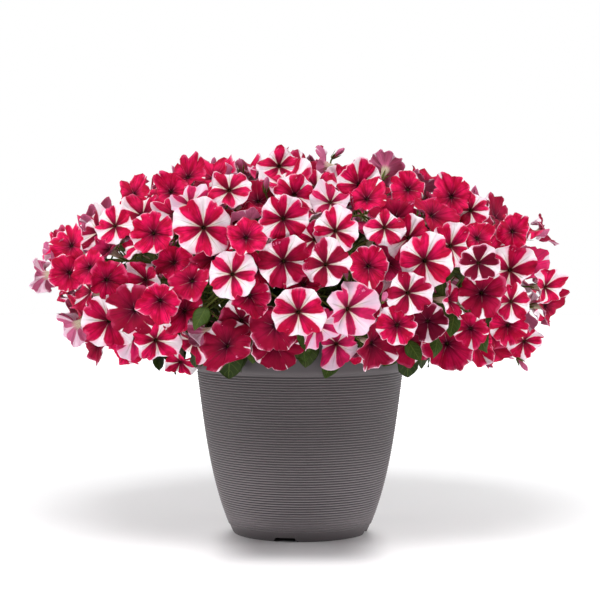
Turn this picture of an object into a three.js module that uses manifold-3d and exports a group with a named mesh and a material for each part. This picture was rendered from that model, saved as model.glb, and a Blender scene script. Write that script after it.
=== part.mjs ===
// A spreading petunia in a round plastic pot. Millimetres, +Z up, the pot's foot on z = 0 and its axis on
// the Z axis; the side with the best bloom places faces -Y. Leafy shoots stand in plain holes in the soil,
// arch over the rim and carry starred blooms, leaves and buds that together make one wide low mound.
import * as THREE from "three";
import { mergeVertices } from "three/addons/utils/BufferGeometryUtils.js";
import Module from "manifold-3d";

const wasm = await Module();
wasm.setup();

// Pot
const POT_SIDES = 32;
const FOOT_RADIUS = 84;
const FOOT_RING_WIDTH = 6;
const BODY_TOP = 205; // where the ribbed body ends and the smooth collar begins
const BODY_FLARE = 46; // how much wider the body's top is than its foot
const FLARE_STRAIGHT = 0.42; // share of the flare that grows evenly with height
const FLARE_LENGTH = 70; // the rest dies away over this height
const COLLAR_RADIUS = 133.6;
const COLLAR_SWELL = 0.4; // and this much more just under the rim
const COLLAR_EDGE = [1.5, 4]; // its lower edge is rounded between these heights over the body's top
const RIM_HEIGHT = 255;
const RIM_ROUND = 2; // height of the rim's rounded edge
const WALL = 3.5;
const FLOOR_UNDERSIDE = 5;
const RIB_COUNT = 12; // larger than life here: the real body has 67 finer ribs
const RIB_BOTTOM = 6;
const RIB_DEPTH = 1.3;
const RIB_CREST = 0.35; // where in its pitch a rib is highest
const RIB_GROOVE = 0.9; // and where the groove over it is deepest
const NOTCH = { width: 31, topWidth: 24, height: 5, reach: 14, firstAngle: -102.4, count: 4 };
const DRAIN = { radius: 5, circle: 52, count: 4, sides: 6 };

// Soil
const SOIL_SIDES = 24;
const SOIL_TOP = 230;
const SOIL_MOUND = { radius: 55, rise: 1.5 }; // a low ring round its middle
const SOIL_SHOULDER = { radius: 100, drop: 2 }; // past this radius it falls a little to the wall
const GAP = 0.3; // clearance of pieces that touch

// Shoots
const SHOOT_COUNT = 34;
const FIRST_SHOOT = 0.4; // azimuth of the first shoot, radians
const ROOT_DEPTH = 22;
const ROOT_CIRCLE = 104; // the outermost roots stand on this radius
const STEM_SIDES = 4;
const STEM_ROOT_RADIUS = 3.4;
const STEM_TIP_RADIUS = 1.9;
const STEM_STEPS = 6;
const STEM_OUT = [0.06, 0.62]; // how far along its run the curve's two handles lie
const STEM_RISE = 0.8; // height of the first handle between soil and arch
const STEM_CREST = 6; // height of the second over the arch
const HOLD_SPACING = 7; // stalks grow from places this far apart along a stem
const FIRST_HOLD_STEP = 2; // and none below this step of it
const GOLDEN_ANGLE = Math.PI * (3 - Math.sqrt(5));
const CANOPY_DEPTH = 52; // how far the shoots' tips lie under the blooms
const SKIRT_DEPTH = 0.4; // the lowest tips lie this share of that over the mound's foot
const SKIRT_ANGLE = 112; // from straight up over the side to the lowest shoots, degrees
const SKIRT_SHARE = 0.62; // below 1, so more shoots go out over the rim than up
const ARCH_HEIGHT = 306; // shoots pass over the rim at about this height

// Mound of blooms: half widths, and its height above and below its widest level
const MOUND = { x: 318, y: 292, level: 314, up: 148, downSide: 104, downFront: 78, crown: 2, skirt: 3 };

// Blooms
const FUNNEL = 0.36; // depth of a bloom's limb over its radius
const LIMB_THICKNESS = 4; // at the throat
const SINUS = 0.86; // radius between two lobes over the lobes' own
const WAVE = 0.09; // how far a lobe's edge waves out of its plane, over the radius
const NECK_RADIUS = 4.6;
const TUBE_END_RADIUS = 2.1;
const TUBE_LENGTH = 33; // from the limb's rim plane to the tube's end
const STALK_RADIUS = 1.3;
const STALK_SIDES = 3;
const HOLE_SHARE = 0.36; // radius of a stalk's root over the width of the stem's side
const HOLD_TRIES = 14; // how many places to grow from are tried
const STALK_TURN_BACK = 0.35; // the cosine of its sharpest turn towards the way the bloom faces
const LEAF_TURN_BACK = -0.15;
const STALK_SLANT = 0.88; // and the cosine of its smallest angle to the stem
const STALK_OUTWARD = 0.6; // and the least cosine of its angle to the way that the stem's side faces
const STALK_FREE = 8; // past this far from its root a stalk is clear of its own stem too
const STALK_SWEEP = 5; // spacing of the points that stand for a stalk while placing
const STEM_SWEEP = 7; // and for a stem
const TUBE_SWEEP = 6; // and for a tube
const LOBES = 5;
const INNER_RING = { count: 10, radius: 0.55, depth: 0.45 }; // points that stand for a limb's inside

// Where the best blooms are, as seen from the front: [x, z] on an upright plane through the pot's axis,
// width across the limb, turn to the right and up from facing the front (degrees), and the angle of one
// sinus between lobes (degrees, from the right).
const EYE = { distance: 2200, height: 370 };
const SIGHT = { before: 40, behind: 60, step: 2, far: 6 }; // how a line of sight is searched for the mound
const FRONT_BLOOMS = [
  [-120, 379, 65, 0, 0, 270],
  [-238, 263, 62, 0, 0, 68],
  [155, 338, 63, 0, 0, 33],
  [-2, 274, 59, 0, 0, 90],
  [135, 366, 56, 5, 3, 107],
  [261, 326, 60, 8, 0, 77],
  [59, 278, 62, 35, 0, 57],
  [-84, 321, 56, 0, 0, 140],
  [-180, 239, 56, 0, -10, 100],
  [187, 356, 56, 5, 3, 42],
  [-182, 372, 54, -8, 5, 96],
  [-21, 390, 56, 5, 0, 177],
  [-88, 425, 59, 0, 25, 270],
  [32, 333, 56, 0, 15, 108],
  [44, 375, 54, 0, 0, 107],
  [226, 298, 56, 5, 0, 90],
  [134, 298, 52, 5, 0, 105],
  [-63, 295, 49, 0, -15, 270],
  [-7, 419, 52, 0, 8, 80],
  [73, 432, 52, 0, 20, 60],
  [-26, 455, 54, 0, 15, 90],
  [-73, 264, 50, -10, -12, 155],
  [85, 331, 48, 5, 0, 90],
  [-174, 289, 49, 0, -20, 90],
  [-54, 326, 49, 8, 5, 90],
  [188, 417, 50, 5, 15, 90],
  [121, 258, 48, 0, -8, 90],
  [-181, 312, 49, 0, 10, 75],
  [-149, 212, 49, 0, -35, 285],
  [-230, 381, 47, -14, 14, 106],
  [18, 364, 47, 0, 5, 176],
  [259, 258, 47, 8, -8, 90],
  [21, 258, 54, 28, -28, 0],
  [4, 308, 50, 0, 30, 90],
  [105, 379, 46, 0, 5, 90],
  [220, 365, 46, 22, 20, 90],
  [264, 374, 46, 15, 15, 90],
  [-108, 292, 47, -20, -15, 90],
  [213, 254, 47, -15, -20, 90],
  [212, 400, 46, 8, 12, 90],
  [-120, 249, 47, -110, -15, 90],
  [78, 224, 47, 0, -75, 90],
  [-160, 423, 46, -15, 20, 90],
  [-287, 323, 46, -10, 0, 90],
  [52, 433, 46, -10, 15, 90],
  [-261, 329, 46, -15, 10, 80],
  [-67, 366, 46, 0, 25, 90],
  [-215, 227, 46, -20, -22, 90],
  [279, 238, 46, 18, -20, 90],
  [-279, 258, 47, -125, -25, 90],
  [305, 305, 48, 32, 0, 90],
  [159, 263, 46, 0, -5, 90],
  [-241, 314, 46, 20, 0, 90],
  [106, 451, 46, 165, 30, 90],
  [-136, 407, 46, -5, 40, 90],
  [185, 289, 46, 62, 0, 90],
  [222, 335, 46, 5, 0, 90],
  [-317, 320, 46, -110, -5, 90],
  [38, 410, 46, 0, 35, 90],
  [-139, 441, 46, -8, 45, 90],
  [83, 414, 46, 0, 35, 90],
  [300, 374, 46, 80, 20, 90],
  [134, 426, 46, 5, 20, 90],
  [-206, 420, 46, -25, 30, 90],
  [263, 287, 46, 5, 0, 90],
  [-284, 356, 46, -30, 35, 90],
  [30, 456, 46, -80, 10, 90],
];
// The leaves that show from the front: [x, z] on the same plane, length, width over it, which way the tip
// points there (degrees, from the right), and the turn of its upper side to the right and up. Some hang
// over the collar, and others show between the blooms.
const HANGING_LEAVES = [
  [-58, 229, 36, 0.74, 268, 0, 10],
  [4, 228, 30, 0.84, 280, 10, 15],
  [38, 208, 34, 0.66, 250, 0, 25],
  [113, 220, 32, 0.78, 235, 15, 15],
  [-22, 239, 30, 0.6, 220, -5, 30],
  [-103, 238, 28, 0.7, 250, -20, 10],
  [142, 226, 30, 0.66, 300, 15, 20],
  [170, 232, 30, 0.5, 250, 25, 20],
  [225, 239, 34, 0.7, 300, 20, 20],
];
const FRONT_LEAVES = [
  [190, 258, 28, 0.66, 260, 0, 20],
  [177, 308, 30, 0.7, 270, 10, 30],
  [-213, 302, 34, 0.6, 260, -10, 30],
  [-124, 267, 32, 0.6, 250, 0, 30],
  [240, 264, 28, 0.6, 220, 20, 20],
];
// The buds that show from the front: [x, z] on the same plane, and the turn to the right and up.
const FRONT_BUDS = [
  [57, 324, -20, 60],
  [105, 293, 10, 30],
  [48, 472, 50, 30],
  [-126, 459, -30, 50],
  [-108, 457, 20, 60],
  [-74, 456, -10, 55],
  [104, 465, 60, 50],
  [-42, 433, 10, 50],
  [200, 222, 10, -50],
  [278, 208, 40, -40],
];
const DEPTH_STEP = 6; // a front bloom that would touch another moves along its line of sight by this
const DEPTH_TRIES = 16;
const FRONT_SIZES = [1, 0.88, 0.78]; // and shrinks by this where no depth is free
const FRONT_REACH = 120; // longest straight way from a front bloom's heel to its stem

// Blooms all round the rest of the mound, placed by seeded draws where most lines of sight still pass
// between the others. Looks from all round the plant: azimuth, height (degrees), and how much each counts.
const LOOKS = [
  [0, 0, 3],
  [0, 55, 1.3],
  [55, 8, 1.1],
  [120, 8, 1],
  [180, 8, 1],
  [180, 55, 1],
  [240, 8, 1],
  [305, 8, 1.1],
];
const LOOK_STEP = 12; // between two lines of sight
const LOOK_SPAN = 330; // how far they reach to each side of the mound's middle
const LOOK_DEPTH = 90; // a bloom hides the plant down to this far under the mound's surface
const HIDING_SHARE = 0.9; // of a bloom's radius
const HIDING_LEVEL = 0.33; // where between its rim and throat a bloom hides what is behind it
const EDGE_ON = 0.15; // the cosine under which a bloom is seen from its edge and hides nothing
const FILL_SEED = 200000;
const FILL_TRIES = 9000; // in each pass
const FILL_GAINS = [34, 30, 26, 23, 20, 18, 16, 14, 12, 10.5, 9, 8, 7, 6]; // what a bloom must hide, by pass
const FILL_COUNT = 194;
const FILL_DEPTHS = [0, 10, 20, 32, 46]; // under the mound's surface
const FILL_WIDTH = [48, 64];
const FILL_TILT = 1;
const FILL_TO_EYE = 0.5; // how far a bloom turns from the mound's normal to who looks at it
const FILL_DROOP = 0.4; // blooms on the skirt look down this much less than its surface does
const FILL_REACH = 90;
const CENTRES_APART = 12;
const BLOOM_SPACE = 1.2; // clearance between blooms, and between their stalks
const STEM_SPACE = 0.96; // clearance from stems
const POT_SPACE = 2;

// Leaves and buds
const HANG_CLEAR = 17; // a leaf that hangs over the collar is this far out from it
const LEAF_SEED = 20000;
const LEAF_TRIES = 2600;
const LEAF_COUNT = 30;
const LEAF_LENGTH = [34, 50];
const LEAF_WIDTH = 0.56; // over its length
const LEAF_HIGHEST = 0.95; // over the mound's height above or below its widest level
const LEAF_DEPTH = [4, 30]; // how deep under the mound's surface
const LEAF_UPWARD = 0.5; // how much more a blade faces up than the mound does
const LEAF_TILT = 1.2;
const LEAF_SWEEP = 1.6;
const LEAF_DROOP = 0.4;
const LEAF_REACH = 70;
const LEAF_THICKNESS = 1.5;
const LEAF_WAVE = 0.09;
const LEAF_WAVES = 9; // along one edge, radians
const LEAF_OUTLINE = [0.8, 0.75]; // below 1: widest nearer the heel, and fuller than a sine
const LEAF_CURL = 0.1; // how far heel and tip bend down, over its length
const LEAF_RINGS = [0.22, 0.5, 0.78];
const BUD_SEED = 40000;
const BUD_TRIES = 700;
const BUD_COUNT = 6;
const BUD_LENGTH = 22;
const BUD_RADIUS = 3.4;
const BUD_SHOULDER = 0.2; // how far past its middle a bud is thickest, over its length
const BUD_LOWEST = -0.5;
const BUD_DEPTH = 2;
const BUD_UPWARD = 0.4;
const BUD_REACH = 80;

const COLOURS = { pot: 0x6d6768, soil: 0x2e241c, shoot: 0xb01740 };

const TURN = Math.PI / 180;
const UP = new THREE.Vector3(0, 0, 1);
const vec = (x, y, z) => new THREE.Vector3(x, y, z);

// A repeatable draw between 0 and 1: the same two numbers always give the same draw.
function draw(item, which) {
  let h = (item * 16 + which + 1) >>> 0;
  h = Math.imul(h ^ (h >>> 16), 0x45d9f3b) >>> 0;
  h = Math.imul(h ^ (h >>> 16), 0x45d9f3b) >>> 0;
  return ((h ^ (h >>> 16)) >>> 0) / 4294967296;
}

const mix = (a, b, t) => a + (b - a) * t;

// Solids

function toSolid(geometry) {
  const bare = geometry.clone();
  bare.deleteAttribute("normal");
  bare.deleteAttribute("uv");
  const merged = mergeVertices(bare, 1e-4);
  return solidFrom(merged.attributes.position.array, merged.index.array);
}

function solidFrom(points, faces) {
  return new wasm.Manifold(
    new wasm.Mesh({
      numProp: 3,
      vertProperties: new Float32Array(points),
      triVerts: new Uint32Array(faces),
    }),
  );
}

function toGeometry(solid) {
  const mesh = solid.getMesh();
  const geometry = new THREE.BufferGeometry();
  geometry.setAttribute("position", new THREE.BufferAttribute(mesh.vertProperties, 3));
  geometry.setIndex(new THREE.BufferAttribute(mesh.triVerts, 1));
  geometry.computeVertexNormals();
  return geometry;
}

// Skins: points and the triangles between them, both kept in one place until the skin is closed

function addRing(skin, ring) {
  const first = skin.points.length;
  skin.points.push(...ring);
  return ring.map((_, i) => first + i);
}

// Triangles between two rings, which turn the same way about the line from a to b and may have unlike
// numbers of points; a ring of one point is the tip of a cone.
function bridge(skin, a, b) {
  const stepsA = a.length === 1 ? 0 : a.length;
  const stepsB = b.length === 1 ? 0 : b.length;
  let i = 0;
  let j = 0;
  while (i < stepsA || j < stepsB) {
    const moveA = j >= stepsB || (i < stepsA && (i + 1) * stepsB <= (j + 1) * stepsA);
    const nextA = a[(i + 1) % a.length];
    const nextB = b[(j + 1) % b.length];
    skin.faces.push([a[i % a.length], moveA ? nextA : nextB, b[j % b.length]]);
    if (moveA) i += 1;
    else j += 1;
  }
}

function bridgeAll(skin, rings) {
  for (let i = 0; i + 1 < rings.length; i += 1) bridge(skin, rings[i], rings[i + 1]);
}

function skinGeometry(skin) {
  const geometry = new THREE.BufferGeometry().setFromPoints(skin.points);
  geometry.setIndex(skin.faces.flat());
  geometry.computeVertexNormals();
  return geometry;
}

// A ring of points round a centre, in the plane of side and over, each one raised along axis.
function ringAt(place, count, radiusAt, riseAt, firstAngle) {
  const { centre, side, over, axis } = place;
  return Array.from({ length: count }, (_, i) => {
    const angle = firstAngle + (i / count) * 2 * Math.PI;
    return centre
      .clone()
      .addScaledVector(side, Math.cos(angle) * radiusAt(i))
      .addScaledVector(over, Math.sin(angle) * radiusAt(i))
      .addScaledVector(axis, riseAt(i));
  });
}

// Two directions square to an axis, the second as near to straight up as it can be.
function squareTo(axis) {
  const near = Math.abs(axis.z) > 0.95 ? vec(0, axis.z > 0 ? 1 : -1, 0) : UP;
  const side = near.clone().cross(axis).normalize();
  return [side, axis.clone().cross(side).normalize()];
}

// Rings along a path, carried on from point to point without twisting, turning about its way back.
function pathRings(path, radii, sides, start) {
  let side = start.clone();
  return path.map((centre, i) => {
    const before = path[Math.max(i - 1, 0)];
    const after = path[Math.min(i + 1, path.length - 1)];
    const axis = before.clone().sub(after).normalize();
    side = side.clone().addScaledVector(axis, -side.dot(axis)).normalize();
    const over = axis.clone().cross(side);
    return ringAt({ centre, side, over, axis }, sides, () => radii[i], () => 0, 0);
  });
}

// Pot

function bodyRadius(z) {
  const straight = (FLARE_STRAIGHT * z) / BODY_TOP;
  return FOOT_RADIUS + BODY_FLARE * (straight + (1 - FLARE_STRAIGHT) * (1 - Math.exp(-z / FLARE_LENGTH)));
}

const innerRadius = (z) => (z < BODY_TOP ? bodyRadius(z) : COLLAR_RADIUS) - WALL;
const FLOOR_TOP = FLOOR_UNDERSIDE + WALL;
const INNER_LEVELS = [FLOOR_TOP, 40, 100, BODY_TOP - 4];

function potProfile() {
  const profile = [
    [0, FLOOR_UNDERSIDE],
    [FOOT_RADIUS - FOOT_RING_WIDTH, FLOOR_UNDERSIDE],
    [FOOT_RADIUS - FOOT_RING_WIDTH, 0],
    [FOOT_RADIUS - 1, 0],
    [bodyRadius(RIB_BOTTOM), RIB_BOTTOM - 1],
  ];
  const pitch = (BODY_TOP - RIB_BOTTOM) / RIB_COUNT;
  for (let i = 0; i < RIB_COUNT; i += 1) {
    const crest = RIB_BOTTOM + pitch * (i + RIB_CREST);
    const groove = RIB_BOTTOM + pitch * (i + RIB_GROOVE);
    profile.push([bodyRadius(crest), crest], [bodyRadius(groove) - RIB_DEPTH, groove]);
  }
  profile.push(
    [COLLAR_RADIUS - COLLAR_SWELL, BODY_TOP + COLLAR_EDGE[0]],
    [COLLAR_RADIUS, BODY_TOP + COLLAR_EDGE[1]],
    [COLLAR_RADIUS + COLLAR_SWELL, RIM_HEIGHT - RIM_ROUND],
    [COLLAR_RADIUS - COLLAR_SWELL * 2, RIM_HEIGHT],
    [COLLAR_RADIUS - WALL, RIM_HEIGHT - RIM_ROUND / 2],
    [COLLAR_RADIUS - WALL, BODY_TOP + 2],
  );
  for (const z of INNER_LEVELS.toReversed()) profile.push([innerRadius(z), z]);
  profile.push([0, FLOOR_TOP]);
  return profile.map(([r, z]) => new THREE.Vector2(r, z));
}

// A lathe about Z; three.js turns its profile about Y, so it is stood up afterwards.
function turned(profile, sides) {
  return toSolid(new THREE.LatheGeometry(profile, sides).rotateX(Math.PI / 2));
}

function makePot() {
  let pot = turned(potProfile(), POT_SIDES);
  for (let i = 0; i < NOTCH.count; i += 1) {
    const half = NOTCH.width / 2;
    const halfTop = NOTCH.topWidth / 2;
    const outline = new THREE.Shape([
      new THREE.Vector2(-half, -1),
      new THREE.Vector2(half, -1),
      new THREE.Vector2(halfTop, NOTCH.height),
      new THREE.Vector2(-halfTop, NOTCH.height),
    ]);
    const cutter = new THREE.ExtrudeGeometry(outline, { depth: NOTCH.reach, bevelEnabled: false })
      .rotateX(Math.PI / 2)
      .rotateZ(Math.PI / 2)
      .translate(FOOT_RADIUS - FOOT_RING_WIDTH - 2, 0, 0)
      .rotateZ((NOTCH.firstAngle + (i * 360) / NOTCH.count) * TURN);
    pot = pot.subtract(toSolid(cutter));
  }
  for (let i = 0; i < DRAIN.count; i += 1) {
    const angle = ((i + 0.5) / DRAIN.count) * 2 * Math.PI;
    const hole = new THREE.CylinderGeometry(DRAIN.radius, DRAIN.radius, WALL * 3, DRAIN.sides)
      .rotateX(Math.PI / 2)
      .translate(DRAIN.circle, 0, FLOOR_UNDERSIDE + WALL / 2)
      .rotateZ(angle);
    pot = pot.subtract(toSolid(hole));
  }
  return pot;
}

// Mound

function lowerHeight(azimuth) {
  return mix(MOUND.downFront, MOUND.downSide, Math.cos(azimuth) ** 2);
}

// Above 0 outside the mound's surface, below 0 inside it.
function moundField(p, inset) {
  const flat = Math.hypot(p.x / (MOUND.x - inset), p.y / (MOUND.y - inset));
  const rise = p.z - MOUND.level;
  const height = rise > 0 ? MOUND.up - inset : lowerHeight(Math.atan2(p.y, p.x)) - inset;
  const power = rise > 0 ? MOUND.crown : MOUND.skirt;
  return flat ** power + Math.abs(rise / height) ** power - 1;
}

function moundNormal(p) {
  const step = 0.5;
  const slope = (dx, dy, dz) =>
    moundField(vec(p.x + dx, p.y + dy, p.z + dz), 0) - moundField(vec(p.x - dx, p.y - dy, p.z - dz), 0);
  return vec(slope(step, 0, 0), slope(0, step, 0), slope(0, 0, step)).normalize();
}

// How far out the mound reaches at its widest level.
function moundReach(azimuth, inset) {
  return 1 / Math.hypot(Math.cos(azimuth) / (MOUND.x - inset), Math.sin(azimuth) / (MOUND.y - inset));
}

// The mound's surface in a direction given by azimuth and rise (-1 at its foot, 1 at its top).
function moundPoint(azimuth, rise, inset) {
  const power = rise > 0 ? MOUND.crown : MOUND.skirt;
  const height = rise > 0 ? MOUND.up - inset : lowerHeight(azimuth) - inset;
  const flat = (1 - Math.abs(rise) ** power) ** (1 / power);
  const out = moundReach(azimuth, inset) * flat;
  return vec(Math.cos(azimuth) * out, Math.sin(azimuth) * out, MOUND.level + rise * height);
}

// Shoots' stems

function bezier(a, b, c, d, t) {
  const u = 1 - t;
  return u * u * u * a + 3 * u * u * t * b + 3 * u * t * t * c + t * t * t * d;
}

function makeShoot(index) {
  const share = (index + 0.5) / SHOOT_COUNT;
  const azimuth = index * GOLDEN_ANGLE + FIRST_SHOOT;
  const polar = SKIRT_ANGLE * TURN * share ** SKIRT_SHARE;
  const rootRadius = ROOT_CIRCLE * Math.sqrt(share);
  const drop = lowerHeight(azimuth) - CANOPY_DEPTH * SKIRT_DEPTH;
  const height = Math.cos(polar) > 0 ? MOUND.up - CANOPY_DEPTH : drop;
  const tipRadius = Math.sin(polar) * moundReach(azimuth, CANOPY_DEPTH);
  const tipZ = MOUND.level + Math.cos(polar) * height;
  const rootZ = SOIL_TOP - ROOT_DEPTH;
  const arch = Math.max(tipZ, ARCH_HEIGHT);
  const run = tipRadius - rootRadius;
  const path = [vec(rootRadius, 0, rootZ)];
  for (let i = 0; i <= STEM_STEPS - 1; i += 1) {
    const t = i / (STEM_STEPS - 1);
    const handles = STEM_OUT.map((out) => rootRadius + run * out);
    const r = bezier(rootRadius, ...handles, tipRadius, t);
    const z = bezier(SOIL_TOP, mix(SOIL_TOP, arch, STEM_RISE), arch + STEM_CREST, tipZ, t);
    path.push(vec(r, 0, z));
  }
  for (const p of path) p.applyAxisAngle(UP, azimuth);
  const radii = path.map((_, i) => mix(STEM_ROOT_RADIUS, STEM_TIP_RADIUS, i / STEM_STEPS));
  const start = vec(Math.cos(azimuth), Math.sin(azimuth), 0);
  const rings = pathRings(path, radii, STEM_SIDES, start);
  const samples = alongPath(path, STEM_SWEEP);
  return { index, path, azimuth, rings, samples, holds: stemHolds(path, rings), carried: [] };
}

// The places on a stem that stalks and leaves can grow from, evenly along each of its steps.
function stemHolds(path, rings) {
  const holds = [];
  for (let step = FIRST_HOLD_STEP; step < STEM_STEPS; step += 1) {
    const span = path[step + 1].clone().sub(path[step]);
    const outs = Array.from({ length: STEM_SIDES }, (_, side) => stemSide(rings, step, side).out);
    const count = Math.floor(span.length() / HOLD_SPACING);
    for (let i = 0; i < count; i += 1) {
      const share = (i + 0.5) / count;
      const point = path[step].clone().addScaledVector(span, share);
      holds.push({ step, share, point, outs, along: span.clone().normalize(), free: true });
    }
  }
  return holds;
}

// Distances

function nearestOnPath(path, p) {
  let best = { distance: Infinity };
  for (let i = 0; i + 1 < path.length; i += 1) {
    const span = path[i + 1].clone().sub(path[i]);
    const t = THREE.MathUtils.clamp(p.clone().sub(path[i]).dot(span) / span.lengthSq(), 0, 1);
    const point = path[i].clone().addScaledVector(span, t);
    const distance = point.distanceTo(p);
    if (distance < best.distance) best = { distance, point, at: i + t };
  }
  return best;
}

function alongPath(path, step) {
  const points = [];
  for (let i = 0; i + 1 < path.length; i += 1) {
    const count = Math.max(1, Math.round(path[i].distanceTo(path[i + 1]) / step));
    for (let k = 0; k < count; k += 1) points.push(path[i].clone().lerp(path[i + 1], k / count));
  }
  points.push(path[path.length - 1].clone());
  return points;
}

// True where a point is within a clearance of a bloom's limb.
function inLimb(bloom, p, space) {
  const v = p.clone().sub(bloom.centre);
  const s = v.dot(bloom.axis);
  const rho = Math.sqrt(Math.max(v.lengthSq() - s * s, 0));
  if (rho > bloom.radius + space) return false;
  const inward = Math.max(0, 1 - rho / bloom.radius);
  const front = -FUNNEL * bloom.radius * inward + WAVE * bloom.radius * (1 - inward);
  const back = -(FUNNEL * bloom.radius + LIMB_THICKNESS) * inward - WAVE * bloom.radius * (1 - inward);
  return s < front + space && s > back - space;
}

// True where a point is within a clearance of a leaf's blade.
function inBlade(leaf, p, space) {
  const v = p.clone().sub(leaf.centre);
  const lift = Math.abs(v.dot(leaf.normal));
  if (lift > LEAF_WAVE * leaf.length + LEAF_THICKNESS / 2 + space) return false;
  const along = v.dot(leaf.along) / (leaf.length / 2 + space);
  const across = v.dot(leaf.across) / (leaf.width / 2 + space);
  return along * along + across * across < 1;
}

const inFlat = (piece, p, space) => (piece.limb ? inLimb(piece, p, space) : inBlade(piece, p, space));

// What two placed pieces need: each one's flat part clear of the other's samples, and their stalks apart.
function touches(a, b) {
  if (a.middle.distanceTo(b.middle) > a.bound + b.bound) return false;
  if (a.flat && b.samples.some((p) => inFlat(a, p, BLOOM_SPACE))) return true;
  if (b.flat && a.samples.some((p) => inFlat(b, p, BLOOM_SPACE))) return true;
  if (a.flat && b.stalk.some((p) => inFlat(a, p, BLOOM_SPACE + STALK_RADIUS))) return true;
  if (b.flat && a.stalk.some((p) => inFlat(b, p, BLOOM_SPACE + STALK_RADIUS))) return true;
  const tubes = BLOOM_SPACE + a.tubeRadius + b.tubeRadius;
  if (a.tube.some((p) => nearestOnPath(b.tube, p).distance < tubes)) return true;
  const near = BLOOM_SPACE + STALK_RADIUS;
  if (a.stalk.some((p) => nearestOnPath(b.stalk, p).distance < near + STALK_RADIUS)) return true;
  if (a.stalk.some((p) => nearestOnPath(b.tube, p).distance < near + b.tubeRadius)) return true;
  return b.stalk.some((p) => nearestOnPath(a.tube, p).distance < near + a.tubeRadius);
}

// Finds a stem to grow from and bends the stalk to it. Returns false if no shoot is in reach.
function growFrom(piece, shoots, reach) {
  const choices = [];
  for (const shoot of shoots) {
    for (const hold of shoot.holds) {
      const distance = hold.point.distanceTo(piece.heel);
      if (hold.free && distance < reach) choices.push({ shoot, hold, distance });
    }
  }
  choices.sort((a, b) => a.distance - b.distance);
  if (piece.samples.some(nearPot)) return false;
  for (const choice of choices.slice(0, HOLD_TRIES)) {
    const toStem = choice.hold.point.clone().sub(piece.heel);
    if (toStem.dot(piece.axis) > piece.turnBack * toStem.length()) continue;
    if (Math.abs(toStem.dot(choice.hold.along)) > STALK_SLANT * toStem.length()) continue;
    const outward = Math.max(...choice.hold.outs.map((out) => -out.dot(toStem)));
    if (outward < STALK_OUTWARD * toStem.length()) continue;
    piece.shoot = choice.shoot;
    piece.hold = choice.hold;
    piece.root = choice.hold.point;
    piece.stalk = alongPath([piece.heel, piece.root], STALK_SWEEP);
    const all = [...piece.samples, ...piece.stalk];
    piece.bound = Math.max(...all.map((p) => p.distanceTo(piece.middle))) + BLOOM_SPACE * 2;
    if (!piece.stalk.some(nearPot) && !stemsTouch(piece, shoots)) return true;
  }
  return false;
}

// True where a point is in the pot or less than a clearance from it.
function nearPot(p) {
  return p.z < RIM_HEIGHT + POT_SPACE && Math.hypot(p.x, p.y) < COLLAR_RADIUS + POT_SPACE;
}

function stemsTouch(piece, shoots) {
  for (const shoot of shoots) {
    const apart = nearestOnPath(shoot.path, piece.middle).distance;
    if (apart > piece.bound + STEM_ROOT_RADIUS) continue;
    const space = STEM_ROOT_RADIUS + STEM_SPACE;
    if (piece.samples.some((p) => nearestOnPath(shoot.path, p).distance < space)) return true;
    if (piece.flat && shoot.samples.some((p) => inFlat(piece, p, space))) return true;
    const own = shoot === piece.shoot;
    const stalk = own ? piece.stalk.filter((p) => p.distanceTo(piece.root) > STALK_FREE) : piece.stalk;
    const stalkSpace = own ? STEM_ROOT_RADIUS + STALK_RADIUS : space + STALK_RADIUS;
    if (stalk.some((p) => nearestOnPath(shoot.path, p).distance < stalkSpace)) return true;
  }
  return false;
}

// Blooms

function makeBloom(centre, axis, width, sinusAngle, seed) {
  const radius = width / 2;
  const [side, over] = squareTo(axis);
  const bloom = { limb: true, flat: true, centre, side, over, axis, radius, sinusAngle, seed };
  bloom.turnBack = STALK_TURN_BACK;
  bloom.throat = centre.clone().addScaledVector(axis, -FUNNEL * radius);
  bloom.neck = bloom.throat.clone().addScaledVector(axis, -LIMB_THICKNESS);
  bloom.heel = centre.clone().addScaledVector(axis, -TUBE_LENGTH);
  bloom.tube = alongPath([bloom.neck, bloom.heel], TUBE_SWEEP);
  bloom.tubeRadius = NECK_RADIUS;
  bloom.middle = centre.clone().addScaledVector(axis, -TUBE_LENGTH / 2);
  const inner = () => radius * INNER_RING.radius;
  const depth = () => -INNER_RING.depth * FUNNEL * radius;
  bloom.samples = [
    ...bloomRim(bloom, LOBES * 4),
    ...ringAt(bloom, INNER_RING.count, inner, depth, 0),
    ...bloom.tube,
  ];
  return bloom;
}

// The limb's edge: the lobes reach the full radius, the sinuses between them are nearer, and it waves.
function bloomRim(bloom, count) {
  const perLobe = count / LOBES;
  const bulge = (i) => Math.sin((Math.PI * (i % perLobe)) / perLobe);
  const radiusAt = (i) => bloom.radius * mix(SINUS, 1, bulge(i));
  const riseAt = (i) => {
    const swing = draw(bloom.seed, 8 + Math.floor(i / perLobe)) * 2 - 1;
    return swing * WAVE * bloom.radius * bulge(i);
  };
  return ringAt(bloom, count, radiusAt, riseAt, bloom.sinusAngle * TURN);
}

// The rings of a bloom from its heel to its throat, and the way the stalk's edges run to the stem.
function bloomRings(bloom) {
  const rim = bloomRim(bloom, LOBES * 2);
  const start = rim[0].clone().sub(bloom.centre);
  const path = [bloom.neck, bloom.heel, bloom.root];
  const [neck, heel, root] = pathRings(path, [NECK_RADIUS, TUBE_END_RADIUS, 1], STALK_SIDES, start);
  return { root, rings: [heel, neck, rim, [bloom.throat]] };
}

function addBloom(skin, bloom, hole) {
  bridgeAll(skin, [hole, ...bloomRings(bloom).rings.map((ring) => addRing(skin, ring))]);
}

// Leaves: one waved blade, thickest along its midrib, on a short stalk

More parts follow.
